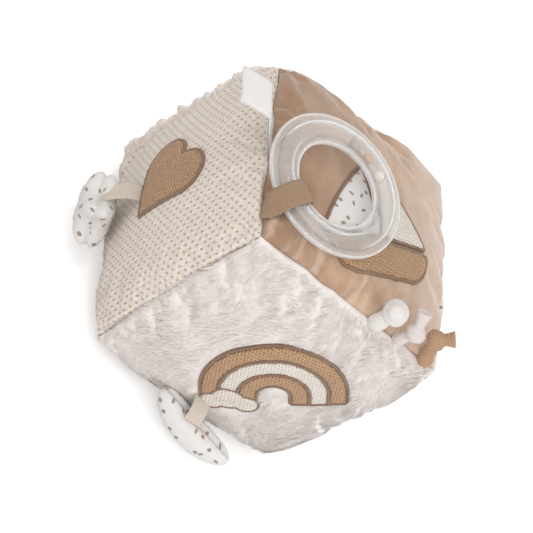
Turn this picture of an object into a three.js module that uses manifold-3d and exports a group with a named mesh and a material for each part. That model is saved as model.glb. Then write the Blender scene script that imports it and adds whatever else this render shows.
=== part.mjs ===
// Soft fabric block: a stuffed activity cube with sewn patches, a clear ring, danglers and knotted tails.
// Millimetres. The block stands on its base: +Z is up, -Y is the fur front, -X is the knit side.
// The origin is the middle of the flat where the base rests on the floor.

import * as THREE from 'three';
import { mergeVertices } from 'three/addons/utils/BufferGeometryUtils.js';
import Module from 'manifold-3d';

const wasm = await Module();
wasm.setup();

// Block: seam to seam sizes, and how far the stuffing pushes the panels out
const blockSide = 150;
const blockHeight = 141;
const seamBowShare = 0.045;
const sideCrown = 15;
const topCrown = 13.5;
const baseCrown = 2;
const baseFlatDepth = 0.5;
const panelThickness = 3;
const seamGap = 0.25;
const seatGap = 0.3;

// Rattle in the middle of the wadding
const rattleRadius = 16;
const rattleWall = 1.6;
const rattleBallRadius = 5;

// Sewn patches and their satin-stitched borders
const patchThickness = 1.3;
const borderThickness = 1.9;
const borderWidth = 2.4;
const heartWidth = 60;
const heartLobeShare = 0.275;
const heartRiseShare = 0.16;
const heartDepthShare = 0.62;
const heartTurn = 41;
const rainbowRadius = 46;
const rainbowBandWidth = 9.6;
const rainbowLineWidth = 2;
const rainbowBandCount = 3;
const rainbowTurn = 45;
const rainbowAcross = 2.8;
const rainbowUp = 7.2;
const cloudPuffRadius = 10.5;
const puffShares = [[-0.95, -0.25, 0.72], [0, 0.2, 1], [1, -0.2, 0.78]];
const boatLength = 94;
const boatHullHeight = 21;
const boatMastHeight = 66;
const boatMastWidth = 2.2;
const boatAcross = -4;
const boatUp = -12;
const boatTurn = 25;
const mainSailShare = 0.46;
const foreSailShare = 0.48;
const foreSailHeightShare = 0.78;

// Clear ring: two shells with rims inside and outside a hollow channel
const ringRadius = 47;
const ringWidth = 19.8;
const ringRimOuter = 4.6;
const ringRimInner = 4;
const ringRimThickness = 1.5;
const ringChannelHeight = 11.6;
const ringWall = 1.3;
const channelRoundShare = 0.7;
const ringTilt = 13.5;
const ringHeading = 43;
const ringReach = 49;
const beadRadius = 3.5;
const beadSpacing = 19;
const beadBearing = 17;

// Ribbons
const ringRibbonWidth = 15;
const ringRibbonThickness = 0.8;
const ringRibbonRoom = 1;
const ringRibbonFromCorner = 19;
const ribbonSwing = 120;
const satinWidth = 30;
const satinThickness = 0.6;
const satinGap = 1.4;
const satinStand = 28;
const satinFlop = 16;
const satinFromMiddle = 0.5;
const satinSlant = 43;
const satinBend = 54;
const satinBendRadius = 5;
const rootDepth = 4;
const danglerRibbonThickness = 1.2;

// Danglers: places are across and up from the middle of the side they hang on, and out from the block's middle
const coverThickness = 1;
const coverLip = 0.5;
const starRadius = 25.5;
const starWave = [0.2, 0.04];
const starThickness = 22;
const starAcross = 1;
const starUp = -51.5;
const starOut = 106.5;
const starTurn = 44;
const starRibbonTurn = 80;
const starTilt = 25;
const starRibbonWidth = 14;
const starRibbonAcross = -1;
const starRibbonUp = -21;
const ribbonEndShare = 0.8;
const moonChord = 62;
const moonRise = 7;
const moonWidth = 20;
const moonThickness = 16;
const moonTipShare = 0.16;
const moonAcross = 1.4;
const moonUp = -60.9;
const moonOut = 102;
const moonYaw = -20;
const moonRibbonWidth = 12.5;
const moonRibbonAlong = -7;
const moonRibbonUp = -46;

// Knotted tails on the top front seam: place from the left corner, knot from the root, and the way the end points
const whiteTailAlong = 93;
const whiteTailStem = 5.4;
const whiteTailKnot = 7.9;
const whiteTailReach = 11;
const whiteTailOut = 2;
const whiteTailUp = 16;
const whiteTailWayShares = [-0.5, -0.67, 0.55];
const greyTailAlong = 113.5;
const greyTailStem = 3.6;
const greyTailKnot = 6.3;
const greyTailEnd = 4.4;
const greyTailReach = 14.5;
const greyTailOut = 4;
const greyTailUp = 14.5;
const greyTailWayShares = [-0.35, 0.45, 0.8];
const tanTailAlong = 139;
const tanTailStem = 4.8;
const tanTailKnot = 6.6;
const tanTailReach = 11.5;
const tanTailOut = 1;
const tanTailUp = 18;
const tanTailBack = 9;
const tanTailWayShares = [0.6, 0, 0.8];
const tailRootRadius = 1.6;
const tailFoldShare = 0.8;
const tailFoldThicknessShare = 0.36;

// Derived places of the block
const half = blockSide / 2;
const halfTall = blockHeight / 2;
const baseReach = 2 * seamBowShare * halfTall + baseCrown;
const middleZ = halfTall + baseReach - baseFlatDepth;
const overrun = blockSide;
const degrees = THREE.MathUtils.degToRad;

// Colours
const colours = {
  velour: 0xbd9c80, fur: 0xded6cf, knit: 0xdcd1c2, sherpa: 0xe2d6cd, jersey: 0xeeeeee, wadding: 0xf6f4ef,
  tanKnit: 0xb08c69, creamKnit: 0xe8dfd2, stitch: 0x7d5f4d, clear: 0xe9eef0, herringbone: 0xb2966f,
  satin: 0xf4f4f2, beige: 0xd6cabb, taupeBead: 0x9a8578, tanBead: 0xc2966a, creamBead: 0xe9e2d2,
  greyRose: 0xd8cecb, rattle: 0xe7e2d8,
};

const model = new THREE.Group();

function addPiece(name, geometry, colour, parent = model, roughness = 0.9) {
  const material = new THREE.MeshStandardMaterial({ color: colour, roughness, metalness: 0 });
  const mesh = new THREE.Mesh(geometry, material);
  mesh.name = name;
  parent.add(mesh);
  return mesh;
}

// Solids: from a three.js geometry to a manifold and back
function solid(geometry) {
  const bare = geometry.clone();
  bare.deleteAttribute('normal');
  bare.deleteAttribute('uv');
  const merged = mergeVertices(bare, 1e-4);
  return new wasm.Manifold(new wasm.Mesh({
    numProp: 3,
    vertProperties: merged.attributes.position.array,
    triVerts: new Uint32Array(merged.index.array),
  }));
}

function shape3(manifold) {
  const mesh = manifold.getMesh();
  const geometry = new THREE.BufferGeometry();
  geometry.setAttribute('position', new THREE.BufferAttribute(new Float32Array(mesh.vertProperties), 3));
  geometry.setIndex(new THREE.BufferAttribute(new Uint32Array(mesh.triVerts), 1));
  return geometry;
}

function boxSolid(low, high) {
  const size = high.map((value, i) => value - low[i]);
  const box = new THREE.BoxGeometry(...size);
  return solid(box.translate(...high.map((value, i) => (value + low[i]) / 2)));
}

// A closed body between two surfaces over the square -1..1 by -1..1, with a rim round it
function sheetBody(under, over, stepsS, stepsT = stepsS) {
  const positions = [];
  const faceList = [];
  const side = stepsS + 1;
  const layerSize = side * (stepsT + 1);
  for (const surface of [over, under]) {
    for (let j = 0; j <= stepsT; j += 1) {
      for (let i = 0; i <= stepsS; i += 1) {
        positions.push(...surface(2 * i / stepsS - 1, 2 * j / stepsT - 1));
      }
    }
  }
  const at = (layer, i, j) => layer * layerSize + j * side + i;
  for (let j = 0; j < stepsT; j += 1) {
    for (let i = 0; i < stepsS; i += 1) {
      const corners = [at(0, i, j), at(0, i + 1, j), at(0, i + 1, j + 1), at(0, i, j + 1)];
      const below = [at(1, i, j), at(1, i + 1, j), at(1, i + 1, j + 1), at(1, i, j + 1)];
      faceList.push(corners[0], corners[1], corners[2], corners[0], corners[2], corners[3]);
      faceList.push(below[0], below[2], below[1], below[0], below[3], below[2]);
    }
  }
  const rim = (a, b) => {
    faceList.push(at(0, ...a), at(1, ...a), at(1, ...b));
    faceList.push(at(0, ...a), at(1, ...b), at(0, ...b));
  };
  for (let i = 0; i < stepsS; i += 1) {
    rim([i, 0], [i + 1, 0]);
    rim([stepsS - i, stepsT], [stepsS - i - 1, stepsT]);
  }
  for (let j = 0; j < stepsT; j += 1) {
    rim([stepsS, j], [stepsS, j + 1]);
    rim([0, stepsT - j], [0, stepsT - j - 1]);
  }
  return indexed(positions, faceList);
}

function indexed(positions, faces) {
  const geometry = new THREE.BufferGeometry();
  geometry.setAttribute('position', new THREE.Float32BufferAttribute(positions, 3));
  geometry.setIndex(faces);
  return geometry;
}

// Cover panels. Each face has its own frame: u and v along the seams, w outwards.
const faces = {
  top: { u: [1, 0, 0], v: [0, 1, 0], w: [0, 0, 1], halfU: half, halfV: half, halfW: halfTall, crown: topCrown },
  front: { u: [1, 0, 0], v: [0, 0, 1], w: [0, -1, 0], halfU: half, halfV: halfTall, halfW: half, crown: sideCrown },
  left: { u: [0, -1, 0], v: [0, 0, 1], w: [-1, 0, 0], halfU: half, halfV: halfTall, halfW: half, crown: sideCrown },
  back: { u: [-1, 0, 0], v: [0, 0, 1], w: [0, 1, 0], halfU: half, halfV: halfTall, halfW: half, crown: sideCrown },
  right: { u: [0, 1, 0], v: [0, 0, 1], w: [1, 0, 0], halfU: half, halfV: halfTall, halfW: half, crown: sideCrown },
  base: { u: [1, 0, 0], v: [0, -1, 0], w: [0, 0, -1], halfU: half, halfV: half, halfW: halfTall, crown: baseCrown },
};

for (const face of Object.values(faces)) {
  const basis = new THREE.Matrix4().makeBasis(
    new THREE.Vector3(...face.u), new THREE.Vector3(...face.v), new THREE.Vector3(...face.w));
  face.group = new THREE.Group();
  face.group.quaternion.setFromRotationMatrix(basis);
  face.group.position.set(0, 0, middleZ);
  model.add(face.group);
}

// A point of the stuffed face: the seams bow out in their middles and the panel crowns between them
function facePoint(face, s, t, inset, sink) {
  const awayU = 1 - s * s;
  const awayV = 1 - t * t;
  return [
    s * (face.halfU - inset) * (1 + seamBowShare * awayV),
    t * (face.halfV - inset) * (1 + seamBowShare * awayU),
    (face.halfW - sink) * (1 + seamBowShare * (awayU + awayV)) + face.crown * awayU * awayV,
  ];
}

const panelSteps = 10;

function panelBody(face) {
  return sheetBody(
    (s, t) => facePoint(face, s, t, seamGap + panelThickness, panelThickness),
    (s, t) => facePoint(face, s, t, seamGap, 0),
    panelSteps);
}

addPiece('velour_top_panel', panelBody(faces.top), colours.velour, faces.top.group);
addPiece('fur_front_panel', panelBody(faces.front), colours.fur, faces.front.group);
addPiece('knit_left_panel', panelBody(faces.left), colours.knit, faces.left.group);
addPiece('sherpa_back_panel', panelBody(faces.back), colours.sherpa, faces.back.group);
addPiece('jersey_right_panel', panelBody(faces.right), colours.jersey, faces.right.group);

const restFlat = boxSolid([-overrun, -overrun, middleZ], [overrun, overrun, overrun]);
addPiece('velour_base_panel', shape3(solid(panelBody(faces.base)).subtract(restFlat)), colours.velour,
  faces.base.group);

// Wadding: the space inside the panels, in two halves round the rattle
const waddingSteps = panelSteps;

function innerBody(sink, steps) {
  const positions = [];
  const faceList = [];
  for (const face of Object.values(faces)) {
    const start = positions.length / 3;
    const place = new THREE.Matrix4().compose(
      face.group.position, face.group.quaternion, new THREE.Vector3(1, 1, 1));
    for (let j = 0; j <= steps; j += 1) {
      for (let i = 0; i <= steps; i += 1) {
        const local = facePoint(face, 2 * i / steps - 1, 2 * j / steps - 1, sink, sink);
        positions.push(...new THREE.Vector3(...local).applyMatrix4(place).toArray());
      }
    }
    const at = (i, j) => start + j * (steps + 1) + i;
    for (let j = 0; j < steps; j += 1) {
      for (let i = 0; i < steps; i += 1) {
        faceList.push(at(i, j), at(i + 1, j), at(i + 1, j + 1), at(i, j), at(i + 1, j + 1), at(i, j + 1));
      }
    }
  }
  return solid(indexed(positions, faceList));
}

const ballSides = 16;
const pocket = solid(new THREE.SphereGeometry(rattleRadius + seatGap, ballSides, ballSides / 2))
  .rotate([90, 0, 0])
  .translate([0, 0, middleZ]);
const wadding = innerBody(panelThickness + seatGap, waddingSteps)
  .subtract(pocket)
  .subtract(boxSolid([-overrun, -overrun, -overrun], [overrun, overrun, baseFlatDepth + panelThickness]));
const aboveMiddle = boxSolid([-overrun, -overrun, middleZ + seatGap / 2], [overrun, overrun, 2 * overrun]);
const belowMiddle = boxSolid([-overrun, -overrun, -overrun], [overrun, overrun, middleZ - seatGap / 2]);
addPiece('wadding_upper', shape3(wadding.intersect(aboveMiddle)), colours.wadding);
addPiece('wadding_lower', shape3(wadding.intersect(belowMiddle)), colours.wadding);

// Rattle capsule in two bowls, with its ball lying at the bottom
function bowlProfile(outer, wall, rise) {
  const points = [];
  const arcSteps = ballSides / 4;
  const innerRadius = outer - wall;
  for (let i = 0; i <= arcSteps; i += 1) {
    const angle = i * Math.PI / 2 / arcSteps;
    points.push(new THREE.Vector2(outer * Math.sin(angle), Math.max(rise, outer * Math.cos(angle))));
  }
  for (let i = arcSteps; i >= 0; i -= 1) {
    const angle = i * Math.PI / 2 / arcSteps;
    points.push(new THREE.Vector2(innerRadius * Math.sin(angle), Math.max(rise, innerRadius * Math.cos(angle))));
  }
  return points.reverse();
}

const bowl = solid(new THREE.LatheGeometry(bowlProfile(rattleRadius, rattleWall, seatGap / 2), ballSides))
  .rotate([90, 0, 0]);
addPiece('rattle_case_upper', shape3(bowl.translate([0, 0, middleZ])), colours.rattle, model, 0.5);
addPiece('rattle_case_lower', shape3(bowl.rotate([180, 0, 0]).translate([0, 0, middleZ])), colours.rattle,
  model, 0.5);
const ballDrop = (rattleRadius - rattleWall) * Math.cos(Math.PI / ballSides) - rattleBallRadius - seatGap;
const ball = addPiece('rattle_ball', new THREE.SphereGeometry(rattleBallRadius, ballSides, ballSides / 2),
  colours.rattle, model, 0.4);
ball.position.set(0, 0, middleZ - ballDrop);

// Patches: a layer that lies on a face, cut to the shape of a region seen square to that face
const layerSteps = panelSteps;

function faceLayer(face, low, high) {
  return solid(sheetBody(
    (s, t) => facePoint(face, s, t, seamGap, -low),
    (s, t) => facePoint(face, s, t, seamGap, -high),
    layerSteps));
}

function regionPrism(points) {
  const prism = new THREE.ExtrudeGeometry(new THREE.Shape(points), { depth: 2 * overrun, bevelEnabled: false });
  return solid(prism);
}

function growOutline(points, amount) {
  const count = points.length;
  return points.map((point, i) => {
    const before = points[(i + count - 1) % count];
    const after = points[(i + 1) % count];
    const inward = new THREE.Vector2().subVectors(point, before).normalize();
    const outward = new THREE.Vector2().subVectors(after, point).normalize();
    const normal = new THREE.Vector2(inward.y + outward.y, -inward.x - outward.x).normalize();
    const spread = Math.max(minMitreShare, normal.dot(new THREE.Vector2(outward.y, -outward.x)));
    return new THREE.Vector2().copy(point).addScaledVector(normal, amount / spread);
  });
}

const minMitreShare = 0.55;

function turned(points, angle, centre = new THREE.Vector2()) {
  return points.map((point) => point.clone().rotateAround(new THREE.Vector2(), degrees(angle)).add(centre));
}

// Adds a patch and hands back its border, both cut from one outline
function patchRegion(outline) {
  return regionPrism(growOutline(outline, -borderWidth / 2 - seatGap));
}

function borderRegion(outline) {
  return regionPrism(growOutline(outline, borderWidth / 2))
    .subtract(regionPrism(growOutline(outline, -borderWidth / 2)));
}

function addPatch(name, face, region, colour) {
  const layer = faceLayer(face, seatGap, seatGap + patchThickness);
  addPiece(name, shape3(layer.intersect(region)), colour, face.group);
}

function addBorder(name, face, region) {
  const layer = faceLayer(face, seatGap, seatGap + borderThickness);
  addPiece(name, shape3(layer.intersect(region)), colours.stitch, face.group);
}

// Heart on the knit side: two round lobes and a wedge that runs down to the point
const lobeSides = 20;

function discRegion(radius, across, up) {
  const disc = solid(new THREE.CylinderGeometry(radius, radius, 2 * overrun, lobeSides));
  return disc.rotate([90, 0, 0]).translate([across, up, overrun]);
}

function heartRegion(grow) {
  const lobe = heartWidth * heartLobeShare;
  const apart = heartWidth / 2 - lobe;
  const rise = heartWidth * heartRiseShare;
  const depth = heartWidth * heartDepthShare;
  const run = Math.hypot(apart, depth);
  const slope = Math.atan2(apart, depth) + Math.asin(lobe / run) - Math.PI / 2;
  const touchAcross = apart + lobe * Math.cos(slope);
  const touchUp = lobe * Math.sin(slope);
  const wedge = [[0, -depth], [touchAcross, touchUp], [apart, 0], [-apart, 0], [-touchAcross, touchUp]];
  const points = wedge.map(([across, up]) => new THREE.Vector2(across, up));
  return regionPrism(growOutline(points, grow))
    .add(discRegion(lobe + grow, apart, 0))
    .add(discRegion(lobe + grow, -apart, 0))
    .translate([0, rise, 0])
    .rotate([0, 0, heartTurn]);
}

addPatch('heart_patch', faces.left, heartRegion(-borderWidth / 2 - seatGap), colours.tanKnit);
addBorder('heart_border', faces.left, heartRegion(borderWidth / 2).subtract(heartRegion(-borderWidth / 2)));

// Rainbow and cloud on the fur front
const arcPoints = 22;

function archOutline(outer, inner, foot) {
  const points = [new THREE.Vector2(outer, -foot)];
  for (let i = 0; i <= arcPoints; i += 1) {
    const angle = Math.PI * i / arcPoints;
    points.push(new THREE.Vector2(outer * Math.cos(angle), outer * Math.sin(angle)));
  }
  points.push(new THREE.Vector2(-outer, -foot), new THREE.Vector2(-inner, -foot));
  for (let i = arcPoints; i >= 0; i -= 1) {
    const angle = Math.PI * i / arcPoints;
    points.push(new THREE.Vector2(inner * Math.cos(angle), inner * Math.sin(angle)));
  }
  points.push(new THREE.Vector2(inner, -foot));
  return points;
}

const rainbowFoot = rainbowBandWidth;
const rainbowInner = rainbowRadius - rainbowBandCount * (rainbowBandWidth + rainbowLineWidth) - rainbowLineWidth;
const rainbowDrop = (rainbowRadius - rainbowFoot) / 2;
const rainbowCentre = new THREE.Vector2(0, -rainbowDrop)
  .rotateAround(new THREE.Vector2(), degrees(rainbowTurn))
  .add(new THREE.Vector2(rainbowAcross, rainbowUp));

function puffs(radius) {
  const wide = cloudPuffRadius;
  let cloud = null;
  for (const [acrossShare, upShare, sizeShare] of puffShares) {
    const grown = wide * sizeShare + radius;
    const placed = discRegion(grown, acrossShare * wide, upShare * wide);
    cloud = cloud ? cloud.add(placed) : placed;
  }
  const middle = (rainbowRadius + rainbowInner) / 2;
  return cloud
    .translate([-middle, -rainbowFoot, 0])
    .rotate([0, 0, rainbowTurn])
    .translate([rainbowCentre.x, rainbowCentre.y, 0]);
}

function archRegion(outer, inner, foot) {
  return regionPrism(turned(archOutline(outer, inner, foot), rainbowTurn, rainbowCentre));
}

const cloudClear = puffs(borderWidth / 2 + seatGap);
let archLines = archRegion(rainbowRadius, rainbowInner, rainbowFoot);
for (let i = 0; i < rainbowBandCount; i += 1) {
  const outer = rainbowRadius - rainbowLineWidth - i * (rainbowBandWidth + rainbowLineWidth);
  const inner = outer - rainbowBandWidth;
  const band = archRegion(outer - seatGap, inner + seatGap, rainbowFoot - rainbowLineWidth - seatGap);
  archLines = archLines.subtract(archRegion(outer, inner, rainbowFoot - rainbowLineWidth));
  const names = ['outer', 'middle', 'inner'];
  addPatch(`rainbow_band_${names[i]}`, faces.front, band.subtract(cloudClear),
    i === 1 ? colours.creamKnit : colours.tanKnit);
}
addBorder('rainbow_stitching', faces.front, archLines.subtract(cloudClear));
addPatch('cloud_patch', faces.front, puffs(-borderWidth / 2 - seatGap), colours.creamKnit);
addBorder('cloud_border', faces.front, puffs(borderWidth / 2).subtract(puffs(-borderWidth / 2)));

// Sailing boat on the velour top: a hull, a mast and two sails
const curvePoints = 6;

function sailOutline(foot, height, direction) {
  const sail = new THREE.Shape();
  sail.moveTo(0, 0);
  sail.lineTo(direction * foot, 0);
  sail.quadraticCurveTo(direction * foot * sailBellyShare, height / 2, 0, height);
  const points = sail.getPoints(curvePoints);
  return THREE.ShapeUtils.isClockWise(points) ? points.reverse() : points;
}

const sailBellyShare = 0.72;
const hullDropShare = 0.8;
const boatBase = -(boatMastHeight + boatHullHeight) / 2 + boatHullHeight;
const sailGap = boatMastWidth / 2 + borderWidth / 4;
const sailRise = borderWidth + boatMastWidth / 2;
const hullShape = new THREE.Shape();
hullShape.moveTo(-boatLength / 2, 0);
hullShape.quadraticCurveTo(-boatLength / 2 * hullDropShare, -boatHullHeight, -boatLength / 4, -boatHullHeight);
hullShape.lineTo(boatLength / 4, -boatHullHeight);
hullShape.quadraticCurveTo(boatLength / 2 * hullDropShare, -boatHullHeight, boatLength / 2, 0);
const boatShift = new THREE.Vector2(0, boatBase)
  .rotateAround(new THREE.Vector2(), degrees(boatTurn))
  .add(new THREE.Vector2(boatAcross, boatUp));
const hull = turned(hullShape.getPoints(curvePoints), boatTurn, boatShift);
const sailHeight = boatMastHeight - 2 * borderWidth;
const sailFoot = (side) => new THREE.Vector2(side * sailGap, sailRise)
  .rotateAround(new THREE.Vector2(), degrees(boatTurn))
  .add(boatShift);
const mainSail = turned(sailOutline(boatLength * mainSailShare, sailHeight, 1), boatTurn, sailFoot(1));
const foreSail = turned(sailOutline(boatLength * foreSailShare, sailHeight * foreSailHeightShare, -1), boatTurn,
  sailFoot(-1));
const mast = boxSolid([-boatMastWidth / 2, 0, 0], [boatMastWidth / 2, boatMastHeight, 2 * overrun])
  .rotate([0, 0, boatTurn])
  .translate([boatShift.x, boatShift.y, 0]);
addPatch('boat_hull', faces.top, patchRegion(hull), colours.tanKnit);
addPatch('main_sail', faces.top, patchRegion(mainSail), colours.creamKnit);
addPatch('fore_sail', faces.top, patchRegion(foreSail), colours.jersey);
addBorder('boat_stitching', faces.top,
  borderRegion(hull).add(borderRegion(mainSail)).add(borderRegion(foreSail)).add(mast));

// Points on the top seams and on the top panel
function seamBow(along) {
  return 1 + seamBowShare * (1 - (along / half) ** 2);
}

function leftSeam(y) {
  return new THREE.Vector3(-half * seamBow(y), y, middleZ + halfTall * seamBow(y));
}

function frontSeam(x) {
  return new THREE.Vector3(x, -half * seamBow(x), middleZ + halfTall * seamBow(x));
}

const settleRounds = 6;

function topHeight(x, y) {
  let s = x / half;
  let t = y / half;
  for (let i = 0; i < settleRounds; i += 1) {
    s = x / (half * (1 + seamBowShare * (1 - t * t)));
    t = y / (half * (1 + seamBowShare * (1 - s * s)));
  }
  return middleZ + facePoint(faces.top, s, t, 0, 0)[2];
}

// What sewn-on pieces keep clear of: the block itself, a seating gap bigger
const keepOut = innerBody(-seatGap, panelSteps);

// A flat cut square to the seam's ridge, so that what is sewn there can lean both ways
function rootCut(root, outward) {
  const turn = new THREE.Quaternion().setFromUnitVectors(new THREE.Vector3(0, 0, 1), outward);
  const matrix = new THREE.Matrix4().compose(
    root.clone().addScaledVector(outward, seatGap), turn, new THREE.Vector3(1, 1, 1));
  return place(boxSolid([-satinWidth, -satinWidth, -satinWidth], [satinWidth, satinWidth, 0]), matrix);
}

// Flat strip round a path of points: its outline, left side then right side
function stripOutline(path, reach) {
  const left = growPath(path, reach);
  const right = growPath(path, -reach).reverse();
  return [...right, ...left].reverse();
}

function growPath(path, amount) {
  return path.map((point, i) => {
    const before = path[Math.max(0, i - 1)];
    const after = path[Math.min(path.length - 1, i + 1)];
    const run = new THREE.Vector2().subVectors(after, before).normalize();
    return point.clone().add(new THREE.Vector2(-run.y, run.x).multiplyScalar(amount));
  });
}

function slab(points, width) {
  const shape = new THREE.Shape(THREE.ShapeUtils.isClockWise(points) ? [...points].reverse() : points);
  const body = new THREE.ExtrudeGeometry(shape, { depth: width, bevelEnabled: false });
  return solid(body).translate([0, 0, -width / 2]);
}

function place(manifold, matrix) {
  return manifold.transform(matrix.elements);
}

// Clear ring, built flat about its own axis and then laid on the top panel
const heading = new THREE.Vector3(Math.cos(degrees(ringHeading)), Math.sin(degrees(ringHeading)), 0);
const channelOuter = ringRadius - ringRimOuter;
const channelInner = ringRadius - ringWidth + ringRimInner;
const ringInner = ringRadius - ringWidth;
const ringRoot = leftSeam(ringRibbonFromCorner - half);
const ringRest = ringRoot.clone().addScaledVector(heading, ringReach);
const ringSlope = new THREE.Vector3(0, 0, 1).applyAxisAngle(
  new THREE.Vector3(heading.y, -heading.x, 0), degrees(ringTilt));
const ringSectors = 36;
const channelSteps = 6;

function coveredHeight(x, y) {
  const point = new THREE.Vector2(x, y);
  const outlines = [hull, mainSail, foreSail].map((outline) => growOutline(outline, borderWidth));
  const covered = outlines.some((outline) => insideOutline(point, outline));
  return topHeight(x, y) + (covered ? seatGap + borderThickness : 0);
}

function insideOutline(point, outline) {
  let inside = false;
  outline.forEach((a, i) => {
    const b = outline[(i + 1) % outline.length];
    const crosses = (a.y > point.y) !== (b.y > point.y);
    if (crosses && point.x < a.x + (b.x - a.x) * (point.y - a.y) / (b.y - a.y)) {
      inside = !inside;
    }
  });
  return inside;
}

// The height at which the ring just clears whatever lies under it
function ringHeight() {
  const rings = [
    [ringRadius, ringRimThickness], [channelOuter, ringChannelHeight / 2],
    [(channelOuter + channelInner) / 2, ringChannelHeight / 2], [channelInner, ringChannelHeight / 2],
    [ringInner, ringRimThickness],
  ];
  let height = 0;
  for (const [radius, depth] of rings) {
    for (let i = 0; i < 2 * ringSectors; i += 1) {
      const angle = Math.PI * i / ringSectors;
      const x = ringRest.x + radius * Math.cos(angle);
      const y = ringRest.y + radius * Math.sin(angle);
      const rise = (ringSlope.x * (x - ringRest.x) + ringSlope.y * (y - ringRest.y) + depth) / ringSlope.z;
      height = Math.max(height, coveredHeight(x, y) + rise);
    }
  }
  return height + seatGap;
}

ringRest.z = ringHeight();
const ringGroup = new THREE.Group();
const ringAcross = new THREE.Vector3().crossVectors(ringSlope, heading).normalize();
const ringAhead = new THREE.Vector3().crossVectors(ringAcross, ringSlope);
ringGroup.quaternion.setFromRotationMatrix(new THREE.Matrix4().makeBasis(ringAhead, ringAcross, ringSlope));
ringGroup.position.copy(ringRest);
model.add(ringGroup);

function arch(innerEdge, outerEdge, height, floor) {
  const points = [];
  for (let i = 0; i <= channelSteps; i += 1) {
    const angle = Math.PI * i / channelSteps;
    const across = Math.sign(Math.cos(angle)) * Math.abs(Math.cos(angle)) ** channelRoundShare;
    const radius = (innerEdge + outerEdge) / 2 - across * (outerEdge - innerEdge) / 2;
    const up = Math.abs(Math.sin(angle)) ** channelRoundShare * height;
    points.push(new THREE.Vector2(radius, Math.max(floor, up)));
  }
  return points;
}

const ringFloor = seatGap / 2;
const ringProfile = [
  new THREE.Vector2(ringInner, ringFloor),
  ...arch(channelInner + ringWall, channelOuter - ringWall, ringChannelHeight / 2 - ringWall, ringFloor),
  new THREE.Vector2(ringRadius, ringFloor),
  new THREE.Vector2(ringRadius, ringRimThickness),
  ...arch(channelInner, channelOuter, ringChannelHeight / 2, ringRimThickness).reverse(),
  new THREE.Vector2(ringInner, ringRimThickness),
];
ringProfile.push(ringProfile[0].clone());
const ringShell = solid(new THREE.LatheGeometry(ringProfile, ringSectors)).rotate([90, 0, 0]);
addPiece('ring_shell_upper', shape3(ringShell), colours.clear, ringGroup, 0.1);
addPiece('ring_shell_lower', shape3(ringShell.rotate([180, 0, 0])), colours.clear, ringGroup, 0.1);

const beadTrack = (channelInner + channelOuter) / 2;
const beadDrop = ringChannelHeight / 2 - ringWall - beadRadius - seatGap;
const beadSides = 12;
['cream', 'tan', 'taupe'].forEach((tone, i) => {
  const angle = degrees(beadBearing + (i - 1) * beadSpacing);
  const bead = addPiece(`bead_${tone}`, new THREE.SphereGeometry(beadRadius, beadSides, beadSides / 2),
    colours[`${tone}Bead`], ringGroup, 0.4);
  bead.position.set(beadTrack * Math.cos(angle), beadTrack * Math.sin(angle), -beadDrop);
});

// Herringbone ribbon: a loop round the ring's section, with a tab down to the seam. Drawn across the ring.
// Its root is cut clear of the block's corner all along the swing of the ring, and flush with the seam.
const ribbonSwingSteps = 8;
const roomOut = ringRadius + ringRibbonRoom;
const roomIn = Math.sqrt(ringInner ** 2 - (ringRibbonWidth / 2) ** 2) - ringRibbonRoom;
const roomUp = ringChannelHeight / 2 + ringRibbonRoom;
const rimUp = ringRimThickness + ringRibbonRoom;
const loopHole = [
  [-roomOut, -rimUp], [-channelOuter, -roomUp], [-channelInner, -roomUp], [-roomIn, -rimUp],
  [-roomIn, rimUp], [-channelInner, roomUp], [-channelOuter, roomUp], [-roomOut, rimUp],
].map(([ahead, up]) => new THREE.Vector2(ahead, up));
const toRing = new THREE.Matrix4().compose(ringGroup.position, ringGroup.quaternion, new THREE.Vector3(1, 1, 1));
const standUp = new THREE.Matrix4().makeRotationX(Math.PI / 2);
const rootInRing = ringRoot.clone().applyMatrix4(toRing.clone().invert());
const tabPath = [
  new THREE.Vector2(-roomOut - ringRibbonThickness / 2, 0),
  new THREE.Vector2(rootInRing.x, rootInRing.z - rootDepth),
];
const ribbonLoop = slab(growOutline(loopHole, ringRibbonThickness), ringRibbonWidth)
  .add(slab(stripOutline(tabPath, ringRibbonThickness), ringRibbonWidth))
  .subtract(slab(loopHole, 2 * ringRibbonWidth));
const ribbonHinge = ringRoot.clone().setZ(ringRoot.z + ringRibbonThickness);
const nearRoot = boxSolid(
  [-ringRibbonWidth, -ringRibbonWidth, -ringRibbonWidth], [ringRibbonWidth, ringRibbonWidth, ringRibbonWidth])
  .translate(ringRoot.toArray());
const blockCorner = keepOut.intersect(nearRoot).translate(ribbonHinge.clone().negate().toArray());
let ringRibbon = place(ribbonLoop, toRing.clone().multiply(standUp)).subtract(keepOut);
for (let i = 1; i <= ribbonSwingSteps; i += 1) {
  const back = new THREE.Quaternion().setFromAxisAngle(
    new THREE.Vector3(heading.y, -heading.x, 0), -degrees(ribbonSwing) * i / ribbonSwingSteps);
  const turn = new THREE.Matrix4().compose(ribbonHinge, back, new THREE.Vector3(1, 1, 1));
  ringRibbon = ringRibbon.subtract(place(blockCorner, turn));
}
ringRibbon = ringRibbon.subtract(
  boxSolid([-overrun, -overrun, -overrun], [ringRoot.x - seatGap, overrun, 2 * overrun]));
addPiece('ring_ribbon', shape3(ringRibbon), colours.herringbone);

// White satin loop: a flat hairpin that stands on the seam and flops over the knit side
function satinPath(extra) {
  const path = [new THREE.Vector2(-rootDepth - extra, 0), new THREE.Vector2(satinStand, 0)];
  const bendSteps = 4;
  for (let i = 1; i <= bendSteps; i += 1) {
    const angle = degrees(satinBend) * i / bendSteps;
    path.push(new THREE.Vector2(
      satinStand + satinBendRadius * Math.sin(angle), satinBendRadius * (1 - Math.cos(angle))));
  }
  const run = new THREE.Vector2(Math.cos(degrees(satinBend)), Math.sin(degrees(satinBend)));
  path.push(path[path.length - 1].clone().addScaledVector(run, satinFlop + extra * satinThickness / rootDepth));
  return path;
}

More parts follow.
